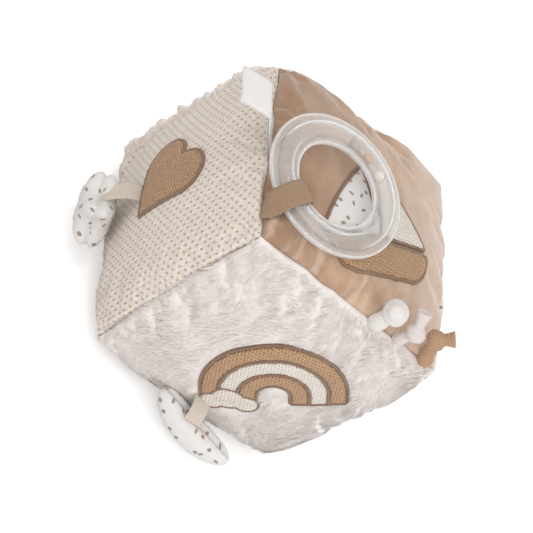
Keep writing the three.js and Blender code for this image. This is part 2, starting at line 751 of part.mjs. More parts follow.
const satinOuter = slab(stripOutline(satinPath(0), satinGap / 2 + satinThickness), satinWidth);
const satinInner = slab(stripOutline(satinPath(-satinThickness), satinGap / 2), 2 * satinWidth);
const satinSlot = satinInner.add(
  boxSolid([-overrun, -satinGap / 2, -overrun], [0, satinGap / 2, overrun]));
const satinRoot = leftSeam(satinFromMiddle);
const satinRise = Math.sin(degrees(satinSlant));
const satinRun = Math.cos(degrees(satinSlant));
const satinTurn = new THREE.Matrix4().makeBasis(
  new THREE.Vector3(-satinRun, 0, satinRise), new THREE.Vector3(-satinRise, 0, -satinRun),
  new THREE.Vector3(0, -1, 0));
satinTurn.setPosition(satinRoot.x, satinRoot.y, satinRoot.z);
const satinLoop = place(satinOuter.subtract(satinSlot), satinTurn)
  .subtract(keepOut)
  .subtract(rootCut(satinRoot, new THREE.Vector3(-1, 0, 1).normalize()));
addPiece('white_satin_loop', shape3(satinLoop), colours.satin, model, 0.4);

// Stuffed danglers: two covers that meet at the middle plane, round a filling
// A closed body between two surfaces over a disc, in sectors and rings
function discBody(under, over, sectors, rings) {
  const positions = [];
  const faceList = [];
  for (const surface of [over, under]) {
    positions.push(...surface(0, 0));
    for (let k = 1; k <= rings; k += 1) {
      const f = Math.sin(Math.PI / 2 * k / rings);
      for (let i = 0; i < sectors; i += 1) {
        positions.push(...surface(f, 2 * Math.PI * i / sectors));
      }
    }
  }
  const layerSize = 1 + sectors * rings;
  const at = (layer, k, i) => layer * layerSize + (k === 0 ? 0 : 1 + (k - 1) * sectors + (i % sectors));
  for (let i = 0; i < sectors; i += 1) {
    faceList.push(at(0, 0, 0), at(0, 1, i), at(0, 1, i + 1));
    faceList.push(at(1, 0, 0), at(1, 1, i + 1), at(1, 1, i));
    for (let k = 1; k < rings; k += 1) {
      faceList.push(at(0, k, i), at(0, k + 1, i), at(0, k + 1, i + 1));
      faceList.push(at(0, k, i), at(0, k + 1, i + 1), at(0, k, i + 1));
      faceList.push(at(1, k, i), at(1, k + 1, i + 1), at(1, k + 1, i));
      faceList.push(at(1, k, i), at(1, k, i + 1), at(1, k + 1, i + 1));
    }
    faceList.push(at(0, rings, i), at(1, rings, i), at(1, rings, i + 1));
    faceList.push(at(0, rings, i), at(1, rings, i + 1), at(0, rings, i + 1));
  }
  return indexed(positions, faceList);
}

// A shape's surface takes how far it is grown, its half thickness, its floor and its side of the middle plane
function addDangler(name, face, centre, turn, shape, thickness, colour) {
  const group = new THREE.Group();
  group.position.set(...centre);
  group.rotation.set(turn[0], turn[1], turn[2], 'YXZ');
  group.updateMatrix();
  face.group.add(group);
  const lip = seatGap / 2;
  const edge = lip + coverLip;
  const inner = thickness / 2 - coverThickness;
  const between = (grow, reach, floor) => shape.body(
    shape.surface(grow, reach, floor, -1), shape.surface(grow, reach, floor, 1));
  const front = shape.body(
    shape.surface(-coverThickness, inner, lip, 1), shape.surface(0, thickness / 2, edge, 1));
  const back = shape.body(
    shape.surface(0, thickness / 2, edge, -1), shape.surface(-coverThickness, inner, lip, -1));
  addPiece(`${name}_front_cover`, front, colour, group);
  addPiece(`${name}_back_cover`, back, colour, group);
  addPiece(`${name}_filling`, between(-2 * coverThickness, inner - seatGap, lip / 2), colours.wadding, group);
  return place(solid(between(seatGap, thickness / 2 + seatGap, edge + seatGap)), group.matrix);
}

const starSectors = 40;
const starRings = 4;
const starPlumpness = 4;

function starEdge(angle) {
  const [first, second] = starWave;
  return starRadius * (1 + first * Math.cos(5 * angle) + second * Math.cos(10 * angle)) / (1 + first + second);
}

const starShape = {
  body: (under, over) => discBody(under, over, starSectors, starRings),
  surface: (grow, thickness, floor, side) => (f, angle) => {
    const radius = (starEdge(angle) + grow) * f;
    const swell = Math.sqrt(Math.max(0, 1 - f ** starPlumpness));
    return [radius * Math.cos(angle), radius * Math.sin(angle), side * (floor + (thickness - floor) * swell)];
  },
};
const starPlace = [starAcross, starUp, starOut];
const starRoom = addDangler('star', faces.left, starPlace, [degrees(starTilt), 0, degrees(starTurn)],
  starShape, starThickness, colours.jersey);

// Crescent: a bent leaf. s runs along it from tip to tip, t across it.
const moonSpineRadius = ((moonChord / 2) ** 2 + moonRise ** 2) / (2 * moonRise);
const moonSpineAngle = Math.asin(moonChord / 2 / moonSpineRadius);
const moonSteps = 6;
const moonShape = {
  body: (under, over) => sheetBody(under, over, 2 * moonSteps, moonSteps),
  surface: (grow, thickness, floor, side) => (s, t) => {
    const spine = moonSpineAngle * s * (1 + grow / (moonChord / 2));
    const taper = moonTipShare + (1 - moonTipShare) * Math.sqrt(1 - s * s);
    const radius = moonSpineRadius - t * (moonWidth / 2 * taper + grow);
    const swell = Math.sqrt(Math.max(0, (1 - s * s) * (1 - t * t)));
    return [radius * Math.sin(spine), moonSpineRadius - moonRise / 2 - radius * Math.cos(spine),
      side * (floor + (thickness - floor) * swell)];
  },
};
const moonPlace = [moonAcross, moonUp, moonOut];
const moonRoom = addDangler('moon', faces.front, moonPlace, [0, degrees(moonYaw), 0],
  moonShape, moonThickness, colours.jersey);

// Ribbons of the danglers: a bowed strip from beside a patch to the edge of the stuffed shape
const bowSteps = 6;

function addDanglerRibbon(name, face, root, end, width, region, room) {
  const [across, up] = root;
  const out = facePoint(face, across / face.halfU, up / face.halfV, 0, 0)[2];
  const curve = new THREE.QuadraticBezierCurve(
    new THREE.Vector2(up, out - rootDepth), new THREE.Vector2(up, (out + end[2]) / 2),
    new THREE.Vector2(end[1], end[2]));
  const strip = slab(stripOutline(curve.getPoints(bowSteps), danglerRibbonThickness / 2), width);
  const frame = new THREE.Matrix4().makeBasis(
    new THREE.Vector3(0, 1, 0), new THREE.Vector3(0, 0, 1), new THREE.Vector3(1, 0, 0));
  frame.setPosition(across, 0, 0);
  face.group.updateMatrix();
  const block = place(keepOut, face.group.matrix.clone().invert());
  const patch = faceLayer(face, -panelThickness, borderThickness + 2 * seatGap).intersect(region);
  const ribbon = place(strip, frame).subtract(block).subtract(patch).subtract(room);
  addPiece(name, shape3(ribbon), colours.beige, face.group);
}

const starLift = starEdge(degrees(starRibbonTurn - starTurn)) * ribbonEndShare;
const starRibbonEnd = [
  starAcross, starUp + starLift * Math.cos(degrees(starTilt)), starOut + starLift * Math.sin(degrees(starTilt)),
];
addDanglerRibbon('star_ribbon', faces.left, [starRibbonAcross, starRibbonUp], starRibbonEnd, starRibbonWidth,
  heartRegion(borderWidth / 2 + seatGap), starRoom);

const moonBend = Math.sqrt(moonSpineRadius ** 2 - moonRibbonAlong ** 2);
const moonLift = moonSpineRadius - moonRise / 2 - moonBend + moonWidth / 2 * ribbonEndShare;
const moonRibbonEnd = new THREE.Vector3(moonRibbonAlong, moonLift, 0)
  .applyAxisAngle(new THREE.Vector3(0, 1, 0), degrees(moonYaw))
  .add(new THREE.Vector3(...moonPlace))
  .toArray();
const rainbowClear = archRegion(rainbowRadius + seatGap, rainbowInner - seatGap, rainbowFoot + seatGap);
addDanglerRibbon('moon_ribbon', faces.front, [moonRibbonEnd[0], moonRibbonUp], moonRibbonEnd, moonRibbonWidth,
  cloudClear.add(rainbowClear), moonRoom);

// Knotted tails: a stem, a knot with a fold wrapped round it, and the loose end
const tailSides = 8;

function rod(from, to, radius, startRadius = radius) {
  const run = new THREE.Vector3().subVectors(to, from);
  const turn = new THREE.Quaternion().setFromUnitVectors(new THREE.Vector3(0, 1, 0), run.clone().normalize());
  const body = new THREE.CylinderGeometry(radius, startRadius, run.length(), tailSides);
  body.applyQuaternion(turn);
  body.translate(...from.clone().add(to).multiplyScalar(1 / 2).toArray());
  return solid(body);
}

function addTail(name, tail, colour) {
  const root = frontSeam(tail.along - half);
  const knotCentre = root.clone().add(tail.at);
  const way = new THREE.Vector3(...tail.way).normalize();
  const outward = new THREE.Vector3(0, -1, 1).normalize();
  const start = root.clone().addScaledVector(outward, -rootDepth / 2);
  const fold = new THREE.TorusGeometry(
    tail.knot * tailFoldShare, tail.knot * tailFoldThicknessShare, tailSides / 2, 2 * tailSides);
  const lean = new THREE.Vector3().subVectors(knotCentre, root).normalize().add(way).normalize();
  fold.applyQuaternion(new THREE.Quaternion().setFromUnitVectors(new THREE.Vector3(0, 0, 1), lean));
  fold.translate(...knotCentre.toArray());
  const knot = new THREE.SphereGeometry(tail.knot, 2 * tailSides, tailSides);
  knot.translate(...knotCentre.toArray());
  const body = rod(start, knotCentre, tail.stem, tailRootRadius)
    .add(solid(knot))
    .add(solid(fold))
    .add(rod(knotCentre, knotCentre.clone().addScaledVector(way, tail.reach), tail.end))
    .subtract(keepOut)
    .subtract(rootCut(root, outward));
  addPiece(name, shape3(body), colour);
}

addTail('white_tail', {
  along: whiteTailAlong,
  stem: whiteTailStem,
  knot: whiteTailKnot,
  end: whiteTailStem,
  reach: whiteTailReach,
  at: new THREE.Vector3(0, -whiteTailOut, whiteTailUp),
  way: whiteTailWayShares,
}, colours.satin);
addTail('grey_tail', {
  along: greyTailAlong,
  stem: greyTailStem,
  knot: greyTailKnot,
  end: greyTailEnd,
  reach: greyTailReach,
  at: new THREE.Vector3(0, -greyTailOut, greyTailUp),
  way: greyTailWayShares,
}, colours.greyRose);
addTail('tan_tail', {
  along: tanTailAlong,
  stem: tanTailStem,
  knot: tanTailKnot,
  end: tanTailStem,
  reach: tanTailReach,
  at: new THREE.Vector3(-tanTailBack, -tanTailOut, tanTailUp),
  way: tanTailWayShares,
}, colours.tanKnit);

export default model;
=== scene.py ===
import math

import bmesh
import bpy
import numpy as np
from mathutils import Matrix, Vector
from mathutils import noise as field
from mathutils.bvhtree import BVHTree


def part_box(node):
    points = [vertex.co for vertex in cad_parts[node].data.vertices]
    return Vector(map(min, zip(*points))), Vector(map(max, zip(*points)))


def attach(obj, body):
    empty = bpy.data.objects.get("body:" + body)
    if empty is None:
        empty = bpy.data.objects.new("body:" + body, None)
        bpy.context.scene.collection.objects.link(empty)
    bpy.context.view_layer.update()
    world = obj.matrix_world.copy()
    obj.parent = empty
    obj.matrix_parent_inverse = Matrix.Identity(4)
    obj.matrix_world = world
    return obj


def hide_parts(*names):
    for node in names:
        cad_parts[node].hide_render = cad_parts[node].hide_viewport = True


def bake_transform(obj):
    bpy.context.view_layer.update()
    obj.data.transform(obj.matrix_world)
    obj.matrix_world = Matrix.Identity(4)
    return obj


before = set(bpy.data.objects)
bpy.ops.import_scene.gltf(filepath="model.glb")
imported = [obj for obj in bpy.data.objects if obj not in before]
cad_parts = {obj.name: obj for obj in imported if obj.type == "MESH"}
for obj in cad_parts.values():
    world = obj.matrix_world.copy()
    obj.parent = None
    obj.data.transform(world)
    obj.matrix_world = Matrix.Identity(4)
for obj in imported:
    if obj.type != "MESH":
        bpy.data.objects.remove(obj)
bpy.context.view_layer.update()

scene = bpy.context.scene
rng = np.random.default_rng(7)
MM = 0.001
TAU = 2 * math.pi

# Sizes of the part, in millimetres. FULL makes the cover a little fuller than in the part's source
HALF, HALF_TALL, MIDDLE = 75.0, 70.5, 78.345
CENTRE = np.array([0, 0, MIDDLE])
BOW, FULL = 0.06, 1.02
SIDE_CROWN, TOP_CROWN, BASE_CROWN = 11.1, 9.8, 2.0
PANEL, SEAT, BORDER = 3.0, 0.3, 2.4
RING_OUT, RING_IN, CHANNEL_OUT, CHANNEL_IN = 47.0, 27.2, 42.4, 31.2
RIM, CHANNEL, WALL = 1.5, 11.6, 1.3
CASE, CASE_WALL, BALL = 16.0, 1.6, 5.0
# Waves per millimetre, along and up the knit side, that place its holes together
KNIT_WAVES = ((-0.159, 0.2086), (0.3074, -0.0163), (0.1484, 0.1923))


# Lines and points, as arrays
def unit(vectors):
    return vectors / np.linalg.norm(vectors, axis=-1, keepdims=True)


def spline(a, b, c, d, f):
    """The smooth curve from b at f = 0 to c at f = 1, with a before them and d after."""
    return b + 0.5 * f * (c - a + f * (2 * a - 5 * b + 4 * c - d + f * (3 * (b - c) + d - a)))


def run_along(line):
    """How far each point of a line is from its start."""
    return np.concatenate([[0], np.cumsum(np.linalg.norm(np.diff(line, axis=0), axis=1))])


def resampled(line, spacing, ring=False):
    line = np.asarray(line, float)
    if ring:
        line = np.concatenate([line, line[:1]])
    run = run_along(line)
    at = np.linspace(0, run[-1], max(3, int(run[-1] / spacing)) + 1)
    fresh = np.stack([np.interp(at, run, values) for values in line.T], -1)
    return fresh[:-1] if ring else fresh


def smooth_line(knots, spacing):
    """A smooth line through the knots, at even steps."""
    knots = np.asarray(knots, float)
    padded = np.concatenate([2 * knots[:1] - knots[1:2], knots, 2 * knots[-1:] - knots[-2:-1]])
    f = np.linspace(0, 1, 12, endpoint=False)[:, None]
    stretches = [spline(*padded[i:i + 4], f) for i in range(len(knots) - 1)]
    return resampled(np.concatenate([*stretches, knots[-1:]]), spacing)


def smooth_noise(count, knots, seed, ring=False):
    """A smooth random line of count values, about -1 to 1, with that many knots."""
    values = np.random.default_rng(seed).uniform(-1, 1, knots + 3)
    if ring:
        values[-3:] = values[:3]
    x = np.linspace(0, knots, count)
    i = np.minimum(x.astype(int), knots - 1)
    before = i - 1 if ring else np.maximum(i - 1, 0)
    return spline(values[before], values[i], values[i + 1], values[i + 2], x - i)


def headings(path, ring=False):
    ahead = np.roll(path, -1, 0) - np.roll(path, 1, 0)
    if not ring:
        ahead[0], ahead[-1] = path[1] - path[0], path[-1] - path[-2]
    return unit(ahead)


def quadratic(a, b, c, count=16):
    f = np.linspace(0, 1, count)[:, None]
    return (1 - f) ** 2 * np.array(a) + 2 * f * (1 - f) * np.array(b) + f ** 2 * np.array(c)


def rotated(p, degrees):
    c, s = math.cos(math.radians(degrees)), math.sin(math.radians(degrees))
    return np.stack([p[..., 0] * c - p[..., 1] * s, p[..., 0] * s + p[..., 1] * c], -1)


def lumps(points, size, octaves=2):
    return np.array([sum(field.noise(Vector(p / size) * 2 ** k) / 2 ** k for k in range(octaves))
                     for p in points.reshape(-1, 3)]).reshape(points.shape[:-1])


# The cube's sides
class Side:
    """A side's axes u and v along it and w outwards, its half sizes, its swell and its panel."""

    def __init__(self, u, v, crown, panel, slot, fine):
        self.axes = np.array([u, v, np.cross(u, v)], float)
        self.half = [HALF_TALL if axis[2] else HALF for axis in self.axes]
        self.crown, self.panel, self.slot, self.fine = crown, panel, slot, fine

    def place(self, local):
        """Points (u, v, w) from the cube's middle, put in the part's frame."""
        return np.asarray(local, float) @ self.axes + CENTRE

    def flat(self, points):
        return (points - CENTRE) @ self.axes[:2].T

    def cover(self, s, t):
        """The cover at s and t, which go from -1 to 1 along the side."""
        (half_u, half_v, half_w), away_u, away_v = self.half, 1 - s * s, 1 - t * t
        return self.place(np.stack([
            s * half_u * FULL * (1 + BOW * away_v),
            t * half_v * FULL * (1 + BOW * away_u),
            half_w * FULL * (1 + BOW * (away_u + away_v)) + self.crown * away_u * away_v], -1))


SIDES = {
    "top": Side((1, 0, 0), (0, 1, 0), TOP_CROWN, "velour_top_panel", "tan_velour", 4),
    "front": Side((1, 0, 0), (0, 0, 1), SIDE_CROWN, "fur_front_panel", "pile_fur", 4),
    "left": Side((0, -1, 0), (0, 0, 1), SIDE_CROWN, "knit_left_panel", "waffle_knit", 6),
    "back": Side((-1, 0, 0), (0, 0, 1), SIDE_CROWN, "sherpa_back_panel", "curly_sherpa", 5),
    "right": Side((0, 1, 0), (0, 0, 1), SIDE_CROWN, "jersey_right_panel", "dotted_jersey", 4),
    "base": Side((1, 0, 0), (0, -1, 0), BASE_CROWN, "velour_base_panel", "tan_velour", 3),
}


# Camera at the photograph's angle
def make_camera():
    azimuth, elevation, roll = (math.radians(a) for a in (-36.2, 33.3, 58.9))
    distance = 1.2
    back = Vector((math.sin(azimuth) * math.cos(elevation), -math.cos(azimuth) * math.cos(elevation),
                   math.sin(elevation)))
    right = Vector((0, 0, 1)).cross(back).normalized()
    up = back.cross(right)
    across = right * math.cos(roll) + up * math.sin(roll)
    upright = up * math.cos(roll) - right * math.sin(roll)
    camera = bpy.data.objects.new("camera", bpy.data.cameras.new("camera"))
    scene.collection.objects.link(camera)
    matrix = Matrix((across, upright, back)).transposed().to_4x4()
    matrix.translation = Vector(CENTRE * MM) + back * distance
    camera.matrix_world = matrix
    camera.data.sensor_width = 36
    camera.data.lens = 127.8
    camera.data.shift_x = -0.0137
    camera.data.shift_y = -0.0094
    scene.camera = camera


# Materials
materials = {}


def srgb(*values):
    linear = (v / 255 / 12.92 if v <= 10 else ((v / 255 + 0.055) / 1.055) ** 2.4 for v in values)
    return (*linear, 1.0)


class Nodes:
    """The nodes of a material or the sky, added one call at a time."""

    def __init__(self, tree):
        self.tree = tree

    def add(self, kind, inputs=None, out=0, **settings):
        node = self.tree.nodes.new("ShaderNode" + kind)
        for name, value in settings.items():
            setattr(node, name, value)
        for name, value in (inputs or {}).items():
            if isinstance(value, bpy.types.NodeSocket):
                self.tree.links.new(value, node.inputs[name])
            else:
                node.inputs[name].default_value = value
        return node.outputs[out]

    def calc(self, operation, a, b=0.0):
        return self.add("Math", {0: a, 1: b}, operation=operation)

    def plus(self, first, *others):
        for value in others:
            first = self.calc("ADD", first, value)
        return first

    def times(self, a, b):
        return self.calc("MULTIPLY", a, b)

    def seen(self):
        """1 for what the camera sees, straight, mirrored or through plastic, and 0 for other light."""
        rays = self.add("LightPath").node.outputs
        both = self.calc("MAXIMUM", rays["Is Camera Ray"], rays["Is Glossy Ray"])
        return self.calc("MAXIMUM", both, rays["Is Transmission Ray"])


class Shader(Nodes):
    """A material. Places are in millimetres."""

    def __init__(self, slot, roughness=0.9, **sockets):
        material = bpy.data.materials.new(slot)
        material.use_nodes = True
        materials[slot] = material
        super().__init__(material.node_tree)
        self.bsdf = self.tree.nodes["Principled BSDF"]
        self.bsdf.inputs["Roughness"].default_value = roughness
        for name, value in sockets.items():
            self.bsdf.inputs[name.replace("_", " ")].default_value = value
        self.normal = None

    def cloth(self, turn=0.0):
        """Millimetres along the cloth, from the mesh's own map."""
        uv = self.add("UVMap", uv_map="cloth")
        return self.add("Mapping", {0: uv, 2: (0, 0, math.radians(turn))})

    def place(self, scale=(1, 1, 1)):
        where = self.add("TexCoord", out=3)
        return self.add("Mapping", {0: where, 3: tuple(s / MM for s in scale)})

    def noise(self, size, detail=2.0, where=None, rough=0.5):
        return self.add("TexNoise", {"Vector": where or self.place(), "Scale": 1 / size, "Detail": detail,
                                     "Roughness": rough})

    def apart(self, vector):
        node = self.add("SeparateXYZ", {0: vector}).node
        return node.outputs[0], node.outputs[1]

    def ramp(self, value, low, high, to_low=0.0, to_high=1.0):
        return self.add("MapRange", {0: value, 1: low, 2: high, 3: to_low, 4: to_high},
                        interpolation_type="SMOOTHSTEP")

    def wave(self, value, period, kind="SINE"):
        return self.calc(kind, self.times(value, TAU / period))

    def mix(self, factor, a, b):
        return self.add("Mix", {0: factor, 6: a, 7: b}, out=2, data_type="RGBA")

    def tone(self, value, low, high, dark, light):
        """The dark colour where the value is low, the light one where it is high."""
        return self.mix(self.ramp(value, low, high), srgb(*dark), srgb(*light))

    def colour(self, value):
        if isinstance(value, bpy.types.NodeSocket):
            self.tree.links.new(value, self.bsdf.inputs["Base Color"])
        else:
            self.bsdf.inputs["Base Color"].default_value = value

    def bump(self, height, depth, strength=1.0):
        inputs = {"Height": height, "Distance": depth * MM, "Strength": strength}
        if self.normal:
            inputs["Normal"] = self.normal
        self.normal = self.add("Bump", inputs)
        self.tree.links.new(self.normal, self.bsdf.inputs["Normal"])


def fabric(slot, roughness=0.92, sheen=0.25):
    return Shader(slot, roughness, Sheen_Weight=sheen, Sheen_Roughness=0.45, Specular_IOR_Level=0.2)


def velour():
    m = fabric("tan_velour", sheen=0.55)
    x, y = m.apart(m.place())
    nap = m.noise(11, 2, m.place((1, 0.5, 1)))
    hair = m.noise(0.8, 2, m.place((1, 0.35, 1)))
    tone = m.tone(nap, 0.3, 0.7, (168, 138, 114), (191, 160, 135))
    # Painted sheen: the velour is made paler towards its right edge, where its nap catches the light
    tone = m.mix(m.ramp(x, 0, 75, 0, 0.75), tone, srgb(203, 182, 165))
    # Painted shade: the velour is made darker and browner towards its left seam, beside the satin loop and
    # the ring ribbon
    tone = m.mix(m.ramp(x, 0, -70, 0, 0.7), tone, srgb(146, 115, 91))
    # Painted highlight: paler streaks near the front seam stand in for light catching the cloth's soft folds
    crease = m.ramp(m.noise(7, 1, m.place((1, 0.2, 0.2))), 0.48, 0.68)
    tone = m.mix(m.times(crease, m.ramp(y, -25, -70, 0, 0.5)), tone, srgb(212, 190, 171))
    m.colour(m.mix(m.ramp(hair, 0.35, 0.65, 0, 0.25), tone, srgb(148, 119, 97)))
    m.bump(nap, 0.5, 0.2)
    m.bump(hair, 0.12, 0.4)


def fur():
    m = fabric("pile_fur", sheen=0.35)
    streak = m.noise(3.4, 2, m.place((1, 0.5, 0.35)))
    tone = m.tone(m.noise(14, 2), 0.35, 0.65, (218, 209, 203), (227, 220, 215))
    m.colour(m.mix(0.5, tone, m.tone(streak, 0.3, 0.7, (213, 205, 199), (228, 221, 217))))
    m.bump(streak, 0.3, 0.2)


def waffle_knit():
    m = fabric("waffle_knit", sheen=0.15)
    u, v = m.apart(m.cloth())
    waves = [m.wave(m.plus(m.times(u, along), m.times(v, up)), 1.0, "COSINE") for along, up in KNIT_WAVES]
    hole = m.ramp(m.plus(*waves), 1.1, 2.7)
    turn = m.calc("ABSOLUTE", m.wave(u, 6.5, "COSINE"))
    twist = m.wave(m.plus(v, m.times(turn, 1.6)), 1.15)
    fibre = m.noise(0.9, 2)
    tone = m.tone(fibre, 0.35, 0.65, (216, 203, 191), (240, 232, 222))
    tone = m.mix(m.ramp(twist, -0.9, 0.6, 0.3, 0), tone, srgb(206, 190, 176))
    # Painted shade: the knit's holes are coloured darker, as the shade that falls in these recesses
    m.colour(m.mix(m.times(hole, 0.85), tone, srgb(184, 156, 128)))
    m.bump(m.calc("SUBTRACT", 1.0, hole), 0.7, 0.6)
    m.bump(m.plus(m.times(twist, 0.7), fibre), 0.22, 0.8)


def sherpa():
    m = fabric("curly_sherpa", sheen=0.4)
    curl = m.noise(2.4, 3, rough=0.6)
    m.colour(m.tone(curl, 0.3, 0.62, (214, 201, 192), (234, 225, 218)))
    m.bump(curl, 0.9, 0.9)


def dotted_jersey():
    """White cloth with a round or a long dot in each cell of a scattered pattern."""
    m = fabric("dotted_jersey", 0.85, 0.1)
    place = m.cloth()
    u, v = m.apart(place)
    cell = m.add("TexVoronoi", {"Vector": place, "Scale": 1 / 9.2, "Randomness": 0.75},
                 voronoi_dimensions="2D").node.outputs
    dx, dy = m.apart(m.add("VectorMath", {0: place, 1: cell["Position"]}, operation="SUBTRACT"))
    chance, kind = m.apart(cell["Color"])
    angle = m.times(chance, TAU)
    long = m.calc("GREATER_THAN", kind, 0.45)
    cos, sin = m.calc("COSINE", angle), m.calc("SINE", angle)
    along = m.calc("DIVIDE", m.plus(m.times(dx, cos), m.times(dy, sin)), m.ramp(long, 0, 1, 1.45, 1.9))
    aside = m.calc("DIVIDE", m.calc("SUBTRACT", m.times(dy, cos), m.times(dx, sin)),
                   m.ramp(long, 0, 1, 1.35, 1.0))
    oval = m.calc("SQRT", m.plus(m.calc("POWER", along, 2.0), m.calc("POWER", aside, 2.0)))
    m.colour(m.tone(oval, 0.85, 1.15, (156, 135, 125), (215, 212, 209)))
    m.bump(m.times(m.wave(u, 0.9), m.wave(v, 0.7, "COSINE")), 0.08, 0.5)
    m.bump(m.noise(5, 2), 0.4, 0.3)


def patch_knit(slot, low, high, hole, deep):
    m = fabric(slot, sheen=0.15)
    u, v = m.apart(m.cloth(20))
    strand = m.wave(m.plus(v, m.times(m.calc("PINGPONG", u, 1.9), 1.3)), 2.5)
    gaps = m.times(m.wave(u, 3.8, "COSINE"), m.wave(m.plus(v, 0.6), 2.5, "COSINE"))
    fuzz = m.noise(0.7, 3)
    # Painted shade: the hole colour darkens the valleys between strands and the gaps between stitches
    tone = m.mix(m.ramp(strand, -1.0, 0.1, 0.45, 0), m.tone(fuzz, 0.3, 0.7, low, high), srgb(*hole))
    m.colour(m.mix(m.ramp(gaps, 0.35, 0.9, 0, deep), tone, srgb(*hole)))
    m.bump(m.calc("SUBTRACT", strand, m.ramp(gaps, 0.3, 0.9, 0, 1.5)), 0.35, 0.8)
    m.bump(fuzz, 0.25, 0.6)


def woven(slot, roughness, sheen, threads, reach, dark, light, depth, strength):
    """A ribbon or stitching. threads gives its threads' wave from the material and the place on it."""
    m = fabric(slot, roughness, sheen)
    thread = threads(m, *m.apart(m.cloth()))
    m.colour(m.tone(thread, -reach, reach, dark, light))
    m.bump(thread, depth, strength)


def white_satin():
    m = fabric("white_satin", 0.5, 0.1)
    m.colour(m.mix(m.noise(6, 2), srgb(216, 213, 209), srgb(224, 221, 218)))
    m.bump(m.wave(m.apart(m.cloth())[0], 0.5), 0.03, 0.6)


def tail_jersey(slot, low, high, period):
    m = fabric(slot, 0.9, 0.2)
    x, y = m.apart(m.place())
    rib = m.wave(x, period)
    stitch = m.wave(m.plus(y, m.calc("ABSOLUTE", rib)), period * 0.8)
    both = m.plus(rib, m.times(stitch, 0.4))
    m.colour(m.tone(both, -1.0, 1.0, low, high))
    m.bump(both, 0.08, 0.5)
    m.bump(m.noise(0.8, 2), 0.12, 0.5)


def wadding():
    m = fabric("wadding", 0.95, 0.3)
    wisp = m.noise(3, 4)
    m.colour(m.mix(wisp, srgb(236, 234, 228), srgb(249, 248, 244)))
    m.bump(wisp, 1.0, 0.6)


def plastic(slot, *tone):
    m = Shader(slot, 0.28, Coat_Weight=0.3, Coat_Roughness=0.12)
    cloud = m.noise(2.5, 2)
    m.colour(m.tone(cloud, 0.3, 0.7, [c * 0.95 for c in tone], tone))
    m.bump(cloud, 0.05, 0.2)


def clear_plastic():
    """Clear, and milkier at the ring's rims. It lets the light through to what lies under it."""
    m = Shader("clear_plastic", 0.1, Transmission_Weight=1.0, IOR=1.4)
    m.colour(srgb(252, 251, 250))
    m.bump(m.noise(9, 1), 0.15, 0.1)
    radius = m.apart(m.cloth())[0]
    rim = m.calc("MAXIMUM", m.ramp(radius, RING_OUT - 2.2, RING_OUT - 0.4),
                 m.ramp(radius, RING_IN + 2.6, RING_IN + 0.6))
    milk = m.add("BsdfDiffuse", {"Color": srgb(238, 236, 234)})
    milky = m.add("MixShader", {0: m.ramp(rim, 0, 1, 0.11, 0.36), 1: m.bsdf.outputs[0], 2: milk})
    clear = m.add("BsdfTransparent", {0: (0.94, 0.935, 0.93, 1)})
    is_shadow = m.add("LightPath", out=1)
    surface = m.add("MixShader", {0: is_shadow, 1: milky, 2: clear})
    m.tree.links.new(surface, m.tree.nodes["Material Output"].inputs[0])


def make_materials():
    for make in (velour, fur, waffle_knit, sherpa, dotted_jersey, white_satin, wadding, clear_plastic):
        make()
    # The third colour of each knit patch is painted shade, for the gaps between its stitches
    patch_knit("tan_knit", (168, 133, 101), (206, 171, 136), (134, 100, 74), 0.9)
    patch_knit("cream_knit", (222, 214, 205), (240, 235, 228), (184, 160, 138), 0.75)
    woven("satin_stitch", 0.55, 0.2, lambda m, u, v: m.wave(m.plus(v, m.times(u, 0.35)), 0.55),
          0.8, (126, 97, 78), (168, 136, 112), 0.18, 0.8)
    woven("herringbone", 0.85, 0.2, lambda m, u, v: m.wave(m.plus(v, m.calc("PINGPONG", u, 3.75)), 1.5),
          0.6, (131, 103, 79), (178, 149, 122), 0.2, 0.9)
    woven("beige_ribbon", 0.85, 0.15, lambda m, u, v: m.wave(v, 0.9),
          0.8, (196, 182, 165), (224, 213, 199), 0.18, 0.8)
    tail_jersey("white_jersey", (212, 207, 202), (220, 216, 212), 0.9)
    tail_jersey("rose_jersey", (202, 191, 188), (216, 207, 204), 0.9)
    tail_jersey("rib_knit", (156, 123, 96), (180, 147, 118), 1.1)
    plastic("bead_cream", 232, 224, 206)
    plastic("bead_tan", 184, 146, 112)
    plastic("bead_taupe", 158, 137, 122)
    plastic("rattle_plastic", 231, 226, 216)


# Meshes: arrays of points in millimetres, faces as lists of indices
def piece(name, points, faces, body, slot, uvs=None, nodes=None, sharp=None, tidy=True):
    """One visible piece that stands for the solids in nodes, which is the one of its own name by default."""
    mesh = bpy.data.meshes.new(name)
    mesh.from_pydata((np.asarray(points, float) * MM).tolist(), [], [list(map(int, f)) for f in faces])
    if uvs is not None:
        layer = mesh.uv_layers.new(name="cloth")
        index = np.zeros(len(mesh.loops), int)
        mesh.loops.foreach_get("vertex_index", index)
        layer.data.foreach_set("uv", np.asarray(uvs, float)[index].ravel())
    obj = bpy.data.objects.new(name, mesh)
    scene.collection.objects.link(obj)
    if tidy:
        work = bmesh.new()
        work.from_mesh(mesh)
        bmesh.ops.recalc_face_normals(work, faces=work.faces)
        if sharp:
            for edge in work.edges:
                edge.smooth = edge.calc_face_angle(0) < math.radians(sharp)
        work.to_mesh(mesh)
        work.free()
    mesh.polygons.foreach_set("use_smooth", [True] * len(mesh.polygons))
    mesh.materials.append(materials[slot])
    if body:
        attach(obj, body)
    nodes = [name] if nodes is None else nodes
    if nodes:
        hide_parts(*nodes)
    return obj


def applied(obj):
    """Makes a piece's modifiers part of its mesh."""
    mesh = bpy.data.meshes.new_from_object(obj.evaluated_get(bpy.context.evaluated_depsgraph_get()))
    obj.modifiers.clear()
    obj.data = mesh
    mesh.polygons.foreach_set("use_smooth", [True] * len(mesh.polygons))
    return mesh


def join(parts):
    """Several (points, faces, uvs) as one."""
    starts = np.cumsum([0] + [len(points) for points, _, _ in parts])
    faces = [[i + start for i in f] for start, part in zip(starts, parts) for f in part[1]]
    return np.concatenate([part[0] for part in parts]), faces, np.concatenate([part[2] for part in parts])


